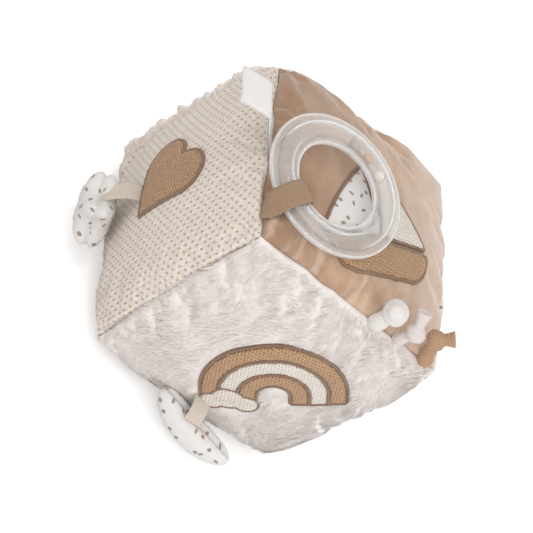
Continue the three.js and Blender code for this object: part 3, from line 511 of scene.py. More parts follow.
def grid_faces(columns, rows, wrap=False, ring=False, start=0):
    """Quads of a grid of points. wrap joins its last and first columns, and ring its last and first rows."""
    j, i = np.meshgrid(np.arange(rows if ring else rows - 1), np.arange(columns if wrap else columns - 1),
                       indexing="ij")
    below, beside = (j + 1) % rows, (i + 1) % columns
    corners = [j * columns + i, j * columns + beside, below * columns + beside, below * columns + i]
    return (start + np.stack(corners, -1).reshape(-1, 4)).tolist()


def closed(top, bottom, faces):
    """A body between two sheets of the same faces, with a rim round them."""
    count = len(top)
    edges = dict.fromkeys((a, b) for face in faces for a, b in zip(face, [*face[1:], face[0]]))
    rim = [[a, a + count, b + count, b] for a, b in edges if (b, a) not in edges]
    under = [[i + count for i in reversed(face)] for face in faces]
    return np.concatenate([top, bottom]), list(faces) + under + rim


def swept(rings):
    """A body through closed rings of points, one ring at each step, with flat ends."""
    steps, count = rings.shape[:2]
    last = (steps - 1) * count
    ends = [list(range(count))[::-1], [last + i for i in range(count)]]
    return rings.reshape(-1, 3), grid_faces(count, steps, wrap=True) + ends


def lathe(profile, sectors):
    """A closed section, as (radius, height) points, turned about Z."""
    angles = np.linspace(0, TAU, sectors, endpoint=False)
    radii, heights = np.asarray(profile, float).T
    points = np.stack([np.outer(np.cos(angles), radii), np.outer(np.sin(angles), radii),
                       np.broadcast_to(heights, (sectors, len(heights)))], -1).reshape(-1, 3)
    return points, grid_faces(len(radii), sectors, wrap=True, ring=True)


def ball(radius, steps, sectors, groove=0.0):
    """A turned ball with a fine groove round its middle. Its section keeps a hair off the axis."""
    arc = np.linspace(0.02, math.pi - 0.02, steps)
    radii = radius * (1 - groove * np.exp(-((arc - math.pi / 2) / 0.05) ** 2))
    return lathe(np.stack([radii * np.sin(arc), radii * np.cos(arc)], -1), sectors)


def vertex_normals(points, faces):
    quads = np.array(faces)
    normals = np.zeros_like(points)
    cross = np.cross(points[quads[:, 2]] - points[quads[:, 0]], points[quads[:, 3]] - points[quads[:, 1]])
    for k in range(4):
        np.add.at(normals, quads[:, k], cross)
    return unit(normals)


def spread(values, faces, rounds):
    """Values at the points, evened out along the quads' edges."""
    quads = np.array(faces)
    for _ in range(rounds):
        total, count = np.zeros_like(values), np.zeros((len(values), 1))
        for k in range(4):
            np.add.at(total, quads[:, k], values[quads[:, (k + 1) % 4]] + values[quads[:, (k + 3) % 4]])
            np.add.at(count, quads[:, k], 2)
        values = 0.4 * values + 0.6 * total / count
    return values


# The stuffed cover
CAGE = 40
ground, fields = {}, {}


def cover_cage():
    """A coarse closed cover: its points, its quads and each side's grid of indices."""
    index, points, grids = {}, [], {}
    for name, side in SIDES.items():
        grid = np.zeros((CAGE + 1, CAGE + 1), int)
        for j, i in np.ndindex(grid.shape):
            key = tuple((2 * i - CAGE, 2 * j - CAGE, CAGE) @ side.axes)
            if key not in index:
                index[key] = len(points)
                points.append(side.cover(2 * i / CAGE - 1, 2 * j / CAGE - 1))
            grid[j, i] = index[key]
        grids[name] = grid
    faces = [[grid[j, i], grid[j, i + 1], grid[j + 1, i + 1], grid[j + 1, i]]
             for grid in grids.values() for j in range(CAGE) for i in range(CAGE)]
    return np.array(points), faces, grids


def stuffed(points):
    """The stuffing pushes the cover out at the top's far edge and beside the front's right corner."""
    x, y, z = (points - CENTRE).T
    far = 6 * np.exp(-((x - 48) / 28) ** 2 - ((y - 78) ** 2 + (z - 73) ** 2) / 30 ** 2)
    side = 4.5 * np.exp(-((z - 45) / 30) ** 2 - ((x - 77) ** 2 + (y + 77) ** 2) / 28 ** 2)
    away = np.linalg.norm(abs(points - CENTRE) - np.array([HALF, HALF, HALF_TALL]), axis=1)
    deep = 2.4 + (x < 0) * (y > 0) * np.where(z > 0, 4.0, -6.0)
    blunt = (deep * np.exp(-(away / 13) ** 2))[:, None] * np.sign(points - CENTRE) / math.sqrt(3)
    return points + np.outer(far, (0, 0.6, 0.8)) + np.outer(side, (0.7, -0.7, 0)) - blunt


def inflate(points, faces, grids):
    """Blows the cover up as cloth. The seams are shorter than the cloth beside them, so it puckers there."""
    start_share, steps = 0.985, 20
    mesh = bpy.data.meshes.new("cover_sim")
    mesh.from_pydata(((CENTRE + (points - CENTRE) * start_share) * MM).tolist(), [],
                     [list(map(int, f)) for f in faces])
    obj = bpy.data.objects.new("cover_sim", mesh)
    scene.collection.objects.link(obj)
    seam, corner = obj.vertex_groups.new(name="seam"), obj.vertex_groups.new(name="corner")
    for grid in grids.values():
        for k in (0, CAGE):
            seam.add([int(i) for i in (*grid[k], *grid[:, k])], 1.0, "REPLACE")
            corner.add([int(grid[k, 0]), int(grid[k, CAGE])], 1.0, "REPLACE")
    cloth = obj.modifiers.new("Cloth", "CLOTH")
    settings = dict(
        quality=6, mass=0.2, tension_stiffness=12, compression_stiffness=12, shear_stiffness=4,
        bending_stiffness=0.05, use_pressure=True, uniform_pressure_force=4, shrink_min=-0.03,
        shrink_max=0.05, vertex_group_shrink="seam", vertex_group_mass="corner", pin_stiffness=0.4)
    for name, value in settings.items():
        setattr(cloth.settings, name, value)
    cloth.settings.effector_weights.gravity = 0
    cloth.point_cache.frame_end = steps
    for step in range(1, steps + 1):
        scene.frame_set(step)
    moved = obj.evaluated_get(bpy.context.evaluated_depsgraph_get())
    result = np.array([v.co for v in moved.data.vertices]) / MM
    bpy.data.objects.remove(obj)
    scene.frame_set(1)
    return result


def upsample(values, times):
    """A grid of values made finer along both sides."""
    for axis in (0, 1):
        count = values.shape[axis]
        x = np.linspace(0, count - 1, (count - 1) * times + 1)
        i = np.minimum(x.astype(int), count - 2)
        f = (x - i).reshape([-1 if a == axis else 1 for a in range(values.ndim)])
        first = 2 * np.take(values, [0], axis) - np.take(values, [1], axis)
        last = 2 * np.take(values, [count - 1], axis) - np.take(values, [count - 2], axis)
        padded = np.concatenate([first, values, last], axis)
        values = spline(*(np.take(padded, i + k, axis) for k in range(4)), f)
    return values


def knit_relief(u, v):
    f = sum(np.cos(TAU * (along * u + up * v)) for along, up in KNIT_WAVES) / 3
    return -0.35 * np.clip((f - 0.35) / 0.6, 0, 1) + 0.12 * f


def fold_relief(t, from_v):
    """Folds of the top panel that run in from its front and far seams."""
    total = 0.0
    for is_far, high, seed in ((False, 1.6, 3), (True, 0.9, 8)):
        folds = smooth_noise(t.shape[1], 19, seed)[None, :] * ((t > 0) == is_far)
        total = total + high * folds * np.exp(-from_v / 17) * (1 - np.exp(-from_v / 3))
    return total


def panel_surface(name, base, normal):
    """One side's fine grid: the blown-up cover with its seam valleys, puckers and cloth relief."""
    side = SIDES[name]
    count = base.shape[0]
    s, t = np.meshgrid(np.linspace(-1, 1, count), np.linspace(-1, 1, count))
    u, v = s * side.half[0], t * side.half[1]
    from_u, from_v = side.half[0] - abs(u), side.half[1] - abs(v)
    near = np.minimum(from_u, from_v)
    relief = -1.2 * np.exp(-(near / 1.6) ** 1.3)
    seed = 40 + 10 * list(SIDES).index(name)
    for k, (away, across) in enumerate(((from_u, s), (from_v, t))):
        for half in (0, 1):
            line = smooth_noise(count, 26, seed + 2 * k + half)
            ripple = (line[None, :] if k else line[:, None]) * (across * (1 if half else -1) > 0)
            relief = relief + 0.3 * ripple * np.exp(-away / 5.5) * (1 - np.exp(-away / 1.2))
    for outline in OUTLINES.get(name, []):
        relief = relief - 0.7 * np.exp(-(abs(outline(side.flat(base))) / 3.2) ** 1.5)
    fade = 1 - np.exp(-near / 2)
    overhang = np.zeros_like(near)
    if name == "left":
        relief = relief + knit_relief(u, v) * fade
    if name == "back":
        curls = lumps(base, 3.6)
        low_top = 1 - np.exp(-((HALF_TALL - v) / 18) ** 2)
        relief = relief + (0.6 + (1.6 * curls + 3.2) * low_top) * fade
        at_left = np.exp(-(HALF - u) / 8) * (1 - np.exp(-(HALF - u) / 1.5))
        overhang = (7.5 - 5.5 * t + 2.5 * curls) * at_left * (1 - np.exp(-(from_v / 8) ** 2))
    if name == "front":
        relief = relief + 0.6 * lumps(base, 18) * fade
    if name == "top":
        relief = relief + fold_relief(t, from_v) + 0.35 * lumps(base, 20) * fade
    if name == "base":
        relief = np.minimum(relief, 0)
    inward = -np.stack([s * (from_u <= from_v), t * (from_v <= from_u)], -1) @ side.axes[:2]
    gap = 0.15 * np.exp(-near / 0.8)
    pulled = base + normal * relief[..., None] + overhang[..., None] * side.axes[0] + inward * gap[..., None]
    pulled[..., 2] = np.maximum(pulled[..., 2], 0.02)
    return pulled, np.stack([u, v], -1)


def backed(surface, normal, times):
    """Closes a panel with a coarser inner layer, joined to its edge."""
    count = surface.shape[0]
    inner = surface[::times, ::times] - PANEL * normal[::times, ::times]
    inner_count = inner.shape[0]
    start = count * count
    faces = grid_faces(count, count) + [f[::-1] for f in grid_faces(inner_count, inner_count, start=start)]
    fine = np.arange(start).reshape(count, count)
    coarse = start + np.arange(inner_count ** 2).reshape(inner_count, inner_count)
    for turn in range(4):
        edge_fine, edge_coarse = np.rot90(fine, turn)[0], np.rot90(coarse, turn)[0]
        for k in range(inner_count - 1):
            a, b = edge_coarse[k], edge_coarse[k + 1]
            run = edge_fine[k * times:(k + 1) * times + 1]
            middle = times // 2
            faces += [[run[m + 1], run[m], a if m < middle else b] for m in range(times)]
            faces.append([run[middle], a, b])
    return np.concatenate([surface.reshape(-1, 3), inner.reshape(-1, 3)]), faces


def add_block():
    """The six panels. Returns the coarse cover that they lie on."""
    points, faces, grids = cover_cage()
    points = stuffed(points)
    shift = inflate(points, faces, grids) - points
    shift = shift - spread(shift, faces, 24)
    length = np.linalg.norm(shift, axis=1, keepdims=True)
    points = points + shift * np.minimum(1, 4.5 / np.maximum(length, 1e-6))
    normals = vertex_normals(points, faces)
    for name, side in SIDES.items():
        normal = unit(upsample(normals[grids[name]], side.fine))
        surface, uv = panel_surface(name, upsample(points[grids[name]], side.fine), normal)
        fields[name] = (surface, normal)
        ground[name] = BVHTree.FromPolygons([Vector(p) for p in surface.reshape(-1, 3)],
                                            grid_faces(*surface.shape[:2]))
        uvs = np.concatenate([uv.reshape(-1, 2), uv[::side.fine, ::side.fine].reshape(-1, 2)])
        body_points, body_faces = backed(surface, normal, side.fine)
        obj = piece(side.panel, body_points, body_faces, "block", side.slot, uvs, tidy=False)
    return points, faces


# Outlines of the patches, as signed distances on a side: less than 0 is inside
def polygon(corners):
    corners = np.array(corners, float)

    def distance(p):
        best = np.full(p.shape[:-1], 1e9)
        inside = np.zeros(p.shape[:-1], bool)
        for a, b in zip(corners, np.roll(corners, -1, 0)):
            e, w = b - a, p - a
            f = np.clip((w @ e) / (e @ e), 0, 1)
            best = np.minimum(best, np.linalg.norm(w - f[..., None] * e, axis=-1))
            crosses = (a[1] > p[..., 1]) != (b[1] > p[..., 1])
            with np.errstate(divide="ignore", invalid="ignore"):
                inside ^= crosses & (p[..., 0] < a[0] + e[0] * (p[..., 1] - a[1]) / e[1])
        return np.where(inside, -best, best)
    return distance


def discs(rows):
    return lambda p: np.minimum.reduce([np.hypot(p[..., 0] - x, p[..., 1] - y) - r for x, y, r in rows])


HEART_WIDTH, HEART_TURN = 60.0, 41.0
lobe = HEART_WIDTH * 0.275
lobe_apart = HEART_WIDTH / 2 - lobe
heart_depth = HEART_WIDTH * 0.62
heart_rise = HEART_WIDTH * 0.16
heart_slope = (math.atan2(lobe_apart, heart_depth) + math.asin(lobe / math.hypot(lobe_apart, heart_depth))
               - math.pi / 2)
heart_touch = (lobe_apart + lobe * math.cos(heart_slope), lobe * math.sin(heart_slope))
heart_wedge = polygon([(0, -heart_depth), heart_touch, (lobe_apart, 0), (-lobe_apart, 0),
                       (-heart_touch[0], heart_touch[1])])
heart_lobes = discs([(lobe_apart, 0, lobe), (-lobe_apart, 0, lobe)])


def heart(p):
    q = rotated(p, -HEART_TURN) - np.array([0, heart_rise])
    return np.minimum(heart_wedge(q), heart_lobes(q))


ARCH_OUT, ARCH_BAND, ARCH_LINE, ARCH_TURN = 46.0, 9.6, 2.0, 45.0
ARCH_IN = ARCH_OUT - 3 * (ARCH_BAND + ARCH_LINE) - ARCH_LINE
ARCH_CENTRE = rotated(np.array([0, -(ARCH_OUT - ARCH_BAND) / 2]), ARCH_TURN) + (2.8, 7.2)
CLOUD_AT = np.array([-(ARCH_OUT + ARCH_IN) / 2, -ARCH_BAND])
cloud_discs = discs([(-9.975, -2.625, 7.56), (0, 2.1, 10.5), (10.5, -2.1, 8.19)])


def arch_place(p):
    return rotated(p - ARCH_CENTRE, -ARCH_TURN)


def arch(outer, inner, foot):
    def distance(p):
        q = arch_place(p)
        r = np.where(q[..., 1] > 0, np.hypot(q[..., 0], q[..., 1]), abs(q[..., 0]))
        return np.maximum.reduce([r - outer, inner - r, -foot - q[..., 1]])
    return distance


def cloud(p):
    return cloud_discs(arch_place(p) - CLOUD_AT)


BOAT_TURN = 25.0
BOAT_AT = rotated(np.array([0, -22.5]), BOAT_TURN) + (-4, -12)
MAST_GAP, SAIL_RISE, MAST_TOP = 1.7, 3.5, 66


def on_boat(line):
    return rotated(np.asarray(line, float), BOAT_TURN) + BOAT_AT


def sail(side, foot, bulge, top):
    """A sail's outline. side is 1 or -1, for either side of the mast."""
    line = np.concatenate([[(0, 0)], quadratic((foot, 0), bulge, (0, top))])
    return polygon(on_boat(line * (side, 1) + (side * MAST_GAP, SAIL_RISE)))


boat_hull = polygon(on_boat(np.concatenate([quadratic((-47, 0), (-37.6, -21), (-23.5, -21)),
                                            quadratic((23.5, -21), (37.6, -21), (47, 0))])))
# Each patch of the boat: its outline, its cloth and a point inside it
BOAT = {
    "boat_hull": (boat_hull, "tan_knit", (0, -9)),
    "main_sail": (sail(1, 43.24, (31.13, 30.6), 61.2), "cream_knit", (12, 15)),
    "fore_sail": (sail(-1, 45.12, (32.49, 23.87), 47.74), "dotted_jersey", (-12, 13)),
}
OUTLINES = {"left": [heart], "front": [arch(ARCH_OUT, ARCH_IN, ARCH_BAND), cloud],
            "top": [outline for outline, _, _ in BOAT.values()]}


def traced(outline, centre):
    """An outline's closed line, seen all round from a point inside."""
    reach, centre = 60.0, np.array(centre)
    angles = np.linspace(0, TAU, 721)[:-1]
    rays = np.stack([np.cos(angles), np.sin(angles)], -1)
    steps = np.linspace(0, reach, 400)
    first = np.argmax(outline(centre + steps[:, None, None] * rays) >= 0, axis=0)
    low, high = steps[np.maximum(first - 1, 0)], steps[first]
    for _ in range(24):
        middle = (low + high) / 2
        inside = outline(centre + middle[:, None] * rays) < 0
        low, high = np.where(inside, middle, low), np.where(inside, high, middle)
    return resampled(centre + low[:, None] * rays, STITCH_STEP, True)


# Patches and their stitching
STITCH_STEP, UNDERSIDE = 0.35, 0.05


def onto(name, flat, lift):
    """Points of a side's plane laid on its cover, raised by lift along its normal."""
    side, outside, sunk = SIDES[name], 130.0, 40.0
    inwards = -Vector(side.axes[2])
    rows = []
    for start in side.place(np.concatenate([flat, np.full((len(flat), 1), outside)], 1)):
        hit, normal, _, _ = ground[name].ray_cast(Vector(start), inwards)
        if hit is None:
            hit, normal = Vector(start) + inwards * sunk, -inwards
        rows.append((hit, normal))
    hits, normals = np.array(rows).transpose(1, 0, 2)
    return hits + normals * np.reshape(lift, (-1, 1))


def add_patch(name, side, outline, box, slot):
    """A patch of puffed knit inside an outline. box is the outline's range along u and along v."""
    step, puff = 0.9, 1.5
    flat = np.stack(np.meshgrid(*(np.arange(low, high, step) for low, high in box)), -1)
    depth = outline(flat)
    kept = depth < -0.2
    cells = kept[:-1, :-1] & kept[1:, :-1] & kept[:-1, 1:] & kept[1:, 1:]
    used = np.zeros(depth.shape, bool)
    for corner in (used[:-1, :-1], used[1:, :-1], used[:-1, 1:], used[1:, 1:]):
        corner |= cells
    index = np.cumsum(used).reshape(used.shape) - 1
    faces = np.stack([index[:-1, :-1], index[:-1, 1:], index[1:, 1:], index[1:, :-1]], -1)[cells].tolist()
    flat, depth = flat[used], depth[used]
    f = np.clip(-depth / 5.0, 0, 1)
    across, up = rotated(flat, 20).T
    row = np.sin(TAU * up / 4.6)
    knots = abs(row) ** 0.6 * abs(np.sin(TAU * (across + 0.7 * row) / 3.6)) ** 0.5
    lift = SEAT + 0.2 + puff * np.sqrt(f * (2 - f)) + 0.35 * (knots - 0.6)
    points, faces = closed(onto(side, flat, lift), onto(side, flat, UNDERSIDE), faces)
    piece(name, points, faces, "block", slot, np.concatenate([flat, flat]))


def rope(side, line, ring=True, width=BORDER, height=1.5):
    """A band of satin stitch along a line on a side: (points, faces, uvs)."""
    stitch = 0.9
    half = [(1.0, -0.1), (0.92, 0.35), (0.66, 0.74), (0.3, 0.96)]
    section = [(-x, y) for x, y in half] + [(0.0, 1.0)] + half[::-1]
    ahead, run = headings(line, ring), run_along(line)
    aside = np.stack([-ahead[:, 1], ahead[:, 0]], -1)
    steps = np.arange(len(line))
    taper = 1 if ring else np.clip(np.minimum(steps, steps[::-1]) / 3, 0.15, 1) ** 0.5
    wobble = 1 + 0.05 * smooth_noise(len(line), max(4, int(run[-1] / 4)), len(line))
    points, uvs = [], []
    for across, up in section:
        ridge = taper * (1 + 0.1 * np.sin(TAU * (run + across * 0.35) / stitch))
        spot = line + aside * (across * width / 2 * wobble)[:, None]
        points.append(onto(side, spot, SEAT + up * height * ridge if up > 0 else UNDERSIDE))
        uvs.append(np.stack([np.full(len(line), across * width / 2), run], -1))
    points, uvs = np.stack(points, 1), np.stack(uvs, 1).reshape(-1, 2)
    if ring:
        return points.reshape(-1, 3), grid_faces(len(section), len(line), wrap=True, ring=True), uvs
    return *swept(points), uvs


def add_stitching(name, ropes):
    points, faces, uvs = join(ropes)
    piece(name, points, faces, "block", "satin_stitch", uvs)


def add_heart():
    add_patch("heart_patch", "left", heart, ((-40, 40), (-40, 40)), "tan_knit")
    add_stitching("heart_border", [rope("left", traced(heart, (0, 0)))])


def add_rainbow():
    box, overlap = ((-54, 66), (-64, 62)), 0.5
    outers = [ARCH_OUT - ARCH_LINE - i * (ARCH_BAND + ARCH_LINE) for i in range(4)]
    for outer, word, slot in zip(outers, ("outer", "middle", "inner"),
                                 ("tan_knit", "cream_knit", "tan_knit")):
        strip = arch(outer + overlap, outer - ARCH_BAND - overlap, ARCH_BAND - ARCH_LINE + overlap)
        add_patch(f"rainbow_band_{word}", "front", lambda p: np.maximum(strip(p), -cloud(p)), box, slot)
    foot = -ARCH_BAND + ARCH_LINE / 2
    angles = np.linspace(0, math.pi, 181)
    radii = [outer + ARCH_LINE / 2 for outer in outers]
    lines = [[(r, foot), *zip(r * np.cos(angles), r * np.sin(angles)), (-r, foot)] for r in radii]
    lines += [[(sign * radii[-1], foot), (sign * radii[0], foot)] for sign in (1, -1)]
    lines = [rotated(resampled(line, STITCH_STEP), ARCH_TURN) + ARCH_CENTRE for line in lines]
    lines = [line[cloud(line) > 0.6] for line in lines]
    add_stitching("rainbow_stitching",
                  [rope("front", line, False, 2.3, 1.7) for line in lines if len(line) > 8])
    add_patch("cloud_patch", "front", cloud, box, "cream_knit")
    middle = rotated(CLOUD_AT, ARCH_TURN) + ARCH_CENTRE
    add_stitching("cloud_border", [rope("front", traced(cloud, middle))])


def add_boat():
    for name, (outline, slot, _) in BOAT.items():
        add_patch(name, "top", outline, ((-65, 65), (-65, 50)), slot)
    ropes = [rope("top", traced(outline, on_boat(inside))) for outline, _, inside in BOAT.values()]
    mast = resampled(on_boat([(0, 0), (0, MAST_TOP)]), STITCH_STEP)
    add_stitching("boat_stitching", ropes + [rope("top", mast, False, 2.2)])


# Strips and tubes along a path
def frame_of(origin, axes):
    return lambda local: np.array(origin, float) + np.asarray(local, float) @ np.array(axes, float)


def band(path, across, width, thick, columns=9, curl=0.0):
    """A flat strip along a path, with its width running across: (points, faces, uvs)."""
    across = unit(np.broadcast_to(np.asarray(across, float), path.shape))
    up = unit(np.cross(headings(path), across))
    run = run_along(path)
    rows = np.linspace(-1, 1, columns)
    section = [(x, 1) for x in rows] + [(x, -1) for x in rows[::-1]]
    points, uvs = [], []
    for x, side in section:
        rise = side * thick / 2 * (0.45 if abs(x) == 1 else 1.0) + curl * (x * x - 0.33)
        points.append(path + across * (x * width / 2) + up * rise)
        uvs.append(np.stack([np.full(len(path), x * width / 2), run], -1))
    count = len(section)
    ends = [[start + i, start + i + 1, start + count - 2 - i, start + count - 1 - i]
            for start in (0, (len(path) - 1) * count) for i in range(columns - 1)]
    faces = grid_faces(count, len(path), wrap=True) + ends
    return np.stack(points, 1).reshape(-1, 3), faces, np.stack(uvs, 1).reshape(-1, 2)


def tube(path, radii, sides=14):
    ahead = headings(path)
    aside = unit(np.cross(ahead, np.array([0.31, 0.87, 0.38])))
    other = np.cross(ahead, aside)
    angles = np.linspace(0, TAU, sides, endpoint=False)[None, :, None]
    radii = np.broadcast_to(np.asarray(radii, float), (len(path),))[:, None, None]
    return swept(path[:, None] + radii * (np.cos(angles) * aside[:, None] + np.sin(angles) * other[:, None]))


def bowed(along):
    return 1 + BOW * (1 - (along / HALF) ** 2)


def left_seam(y):
    return np.array([-HALF * bowed(y), y, MIDDLE + HALF_TALL * bowed(y)])


def front_seam(x):
    return np.array([x, -HALF * bowed(x), MIDDLE + HALF_TALL * bowed(x)])


# Clear ring with its beads
RING_AT = (-40.657, -22.582, 171.289)
RING_TURN, RING_TILT = math.radians(43), math.radians(13.5)
ring_level = np.array([math.cos(RING_TURN), math.sin(RING_TURN), 0])
ring_along = ring_level * math.cos(RING_TILT) + (0, 0, math.sin(RING_TILT))
ring_across = np.array([-math.sin(RING_TURN), math.cos(RING_TURN), 0])
RING_AXES = (ring_along, ring_across, np.cross(ring_along, ring_across))
in_ring = frame_of(RING_AT, RING_AXES)


def channel_arch(inner, outer, height, floor, steps=26):
    """Half of the channel's section, squarer than a half ellipse."""
    angles = np.linspace(0, math.pi, steps + 1)
    across = np.sign(np.cos(angles)) * abs(np.cos(angles)) ** 0.7
    return [((inner + outer) / 2 - x * (outer - inner) / 2, max(floor, y))
            for x, y in zip(across, height * abs(np.sin(angles)) ** 0.7)]


def add_ring():
    floor = 0.15
    half_rim = (RIM - floor) / 2
    arc = np.linspace(0, math.pi / 2, 6)
    round_off = half_rim * np.stack([np.cos(arc), np.sin(arc)], -1)
    outer_rim = round_off + (RING_OUT - half_rim, RIM - half_rim)
    inner_rim = round_off[::-1] * (-1, 1) + (RING_IN + half_rim, RIM - half_rim)
    inside = channel_arch(CHANNEL_IN + WALL, CHANNEL_OUT - WALL, CHANNEL / 2 - WALL, floor)
    outside = channel_arch(CHANNEL_IN, CHANNEL_OUT, CHANNEL / 2, RIM)[::-1]
    points, faces = lathe([(RING_IN, floor), *inside, (RING_OUT, floor), *outer_rim, *outside, *inner_rim],
                          180)
    uvs = np.stack([np.hypot(points[:, 0], points[:, 1]), points[:, 2]], -1)
    for name, sign in (("ring_shell_upper", 1), ("ring_shell_lower", -1)):
        piece(name, in_ring(points * (1, 1, sign)), faces, "ring", "clear_plastic", uvs, sharp=50)


def add_beads():
    radius, first, apart = 3.5, math.radians(-2), math.radians(19)
    middle = (CHANNEL_IN + CHANNEL_OUT) / 2
    drop = CHANNEL / 2 - WALL - radius - SEAT
    points, faces = ball(radius, 28, 40, groove=0.012)
    for i, name in enumerate(("bead_cream", "bead_tan", "bead_taupe")):
        angle = first + i * apart
        tilt = np.array(Matrix.Rotation(0.5 + i, 3, "X") @ Matrix.Rotation(0.7 * i, 3, "Y"))
        at = np.array([middle * math.cos(angle), middle * math.sin(angle), -drop])
        piece(name, in_ring(points @ tilt.T + at), faces, "beads", name)


def add_ring_ribbon():
    width, thick = 15, 0.75
    root = left_seam(-56.0)
    along, _, up = (root - np.array(RING_AT)) @ np.array(RING_AXES).T
    loop = [(-49.0, -0.9), (-47.9, -2.8), (-43.4, -6.8), (-37.2, -7.4), (-31.0, -7.0), (-26.0, -3.4),
            (-24.8, 0), (-26.0, 3.4), (-31.0, 7.0), (-37.2, 7.4), (-43.4, 6.8), (-47.9, 3.0), (-49.6, 0.2)]
    under = [(along + 0.1, up - 1.6), (along + 0.7, up + 1.4), (-50.3, -3.4)]
    over = [(-51.2, -3.0), (along - 0.3, up + 1.6), (along - 0.8, up - 1.4)]
    line = smooth_line([(a, 0, z) for a, z in under + loop + over], 0.6)
    path = in_ring(line)
    rise = np.clip((line[:, 2] - up) / 7.0, 0, 1)
    turn = np.where(line[:, 0] < -48.5, rise * rise * (3 - 2 * rise), 1.0)[:, None]
    across = np.array([0.02, 1, 0]) * (1 - turn) + np.array(RING_AXES[1]) * turn
    points, faces, uvs = band(path, across, width, thick, curl=0.25)
    obj = piece("ring_ribbon", points, faces, None, "herringbone", uvs)
    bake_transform(obj)


def add_satin_loop():
    width, thick = 30, 0.5
    stand, bend, flop, reach = 27.0, math.radians(54), 16.0, 5.0
    centre = [(-1.5, 0), (stand * 0.5, 0.5), (stand, 0)]
    centre += [(stand + reach * math.sin(angle), reach * (1 - math.cos(angle)))
               for angle in np.linspace(0, bend, 5)[1:]]
    way = np.array([math.cos(bend), math.sin(bend)])
    centre = np.array(centre)
    centre = np.concatenate([centre, centre[-1:] + way * flop * 0.5 + (0, -0.5), centre[-1:] + way * flop])
    ahead = headings(centre)
    aside = np.stack([-ahead[:, 1], ahead[:, 0]], -1)
    gap = np.array([0.42, 0.5, 0.45] + [0.42] * 4 + [0.5, 0.75])[:, None]
    line = np.concatenate([centre + aside * gap, centre[-1:] + way * 0.85, (centre - aside * gap)[::-1]])
    line = smooth_line(np.pad(line, ((0, 0), (0, 1))), 0.4)
    slant = math.radians(43)
    out = np.array([-math.cos(slant), 0, math.sin(slant)])
    down = np.array([-math.sin(slant), 0, -math.cos(slant)])
    root = left_seam(0.5)
    points, faces, uvs = band(frame_of(root, (out, down, (0, -1, 0)))(line), (0, -1, 0), width, thick,
                              columns=15)
    wave = np.sin(points[:, 1] / 4.2 + points[:, 2] / 9) * 0.35 + np.sin(points[:, 1] / 9 - 1) * 0.5
    points = points + np.outer(wave * np.clip((points[:, 2] - root[2]) / 12, 0, 1), down)
    obj = piece("white_satin_loop", points, faces, None, "white_satin", uvs)
    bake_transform(obj)


# Danglers. Places are (u, v, w) on their side of the cube
STAR_AT, STAR_TILT, STAR_REACH = (1, -51.5, 106.5), math.radians(25), 25.5
MOON_AT = (1.4, -60.9, 102)
# How far each sheet's map is moved, so that their dots differ
MAP_SHIFT = 50


def seam_dip(high):
    return 2.6 * np.exp(-(high / 2.2) ** 2)


def laid_flat(radius, high):
    """How far each row of points is from the first along the cloth."""
    step = np.hypot(np.diff(radius, axis=0), np.diff(high, axis=0))
    return np.insert(np.cumsum(step, axis=0), 0, 0, axis=0)


def dangler(name, side, centre, turn, sheets, faces, uvs):
    """Places a stuffed shape, whose two sheets of cloth meet at a seam."""
    points, faces = closed(*sheets, faces)
    points = SIDES[side].place(points @ np.array(turn).T + np.array(centre))
    obj = piece(f"{name}_cover", points, faces, name, "dotted_jersey", np.concatenate(uvs),
                [f"{name}_front_cover", f"{name}_back_cover", f"{name}_filling"])


def star_edge(angle):
    wavy, pointed = 0.2, 0.04
    share = 1 + wavy * np.cos(5 * angle) + pointed * np.cos(10 * angle)
    return STAR_REACH * share / (1 + wavy + pointed)


def add_star():
    sectors, rings, half = 200, 30, 11.0
    f = np.sin(np.linspace(0, math.pi / 2, rings + 1))[:, None]
    angle = np.linspace(0, TAU, sectors, endpoint=False)[None, :]
    pull = 0.3 * smooth_noise(sectors, 40, 5, True)[None, :]
    sheets, uvs = [], []
    for side in (1, -1):
        crease = 1 - 0.1 * np.exp(-((1 - f) / 0.25) ** 2) * (1 + np.cos(20 * angle + side)) / 2
        high = 0.15 + half * np.sqrt(1 - f ** 4) * crease
        high = high + 0.3 * np.sin(angle * 3 + side) * np.sin(f * 5) * (1 - f)
        radius = (star_edge(angle) + pull * f ** 6) * f - seam_dip(high) * f ** 8
        run = laid_flat(radius, high)
        sheets.append(np.stack([radius * np.cos(angle), radius * np.sin(angle), side * high], -1))
        uvs.append(np.stack([run * np.cos(angle), run * np.sin(angle)], -1) + MAP_SHIFT * side)
    sheets = [sheet.reshape(-1, 3)[sectors - 1:] for sheet in sheets]
    uvs = [uv.reshape(-1, 2)[sectors - 1:] for uv in uvs]
    faces = [[0, 1 + i, 1 + (i + 1) % sectors] for i in range(sectors)]
    faces += grid_faces(sectors, rings, wrap=True, start=1)
    turn = Matrix.Rotation(STAR_TILT, 3, "X") @ Matrix.Rotation(math.radians(44), 3, "Z")
    dangler("star", "left", STAR_AT, turn, sheets, faces, uvs)


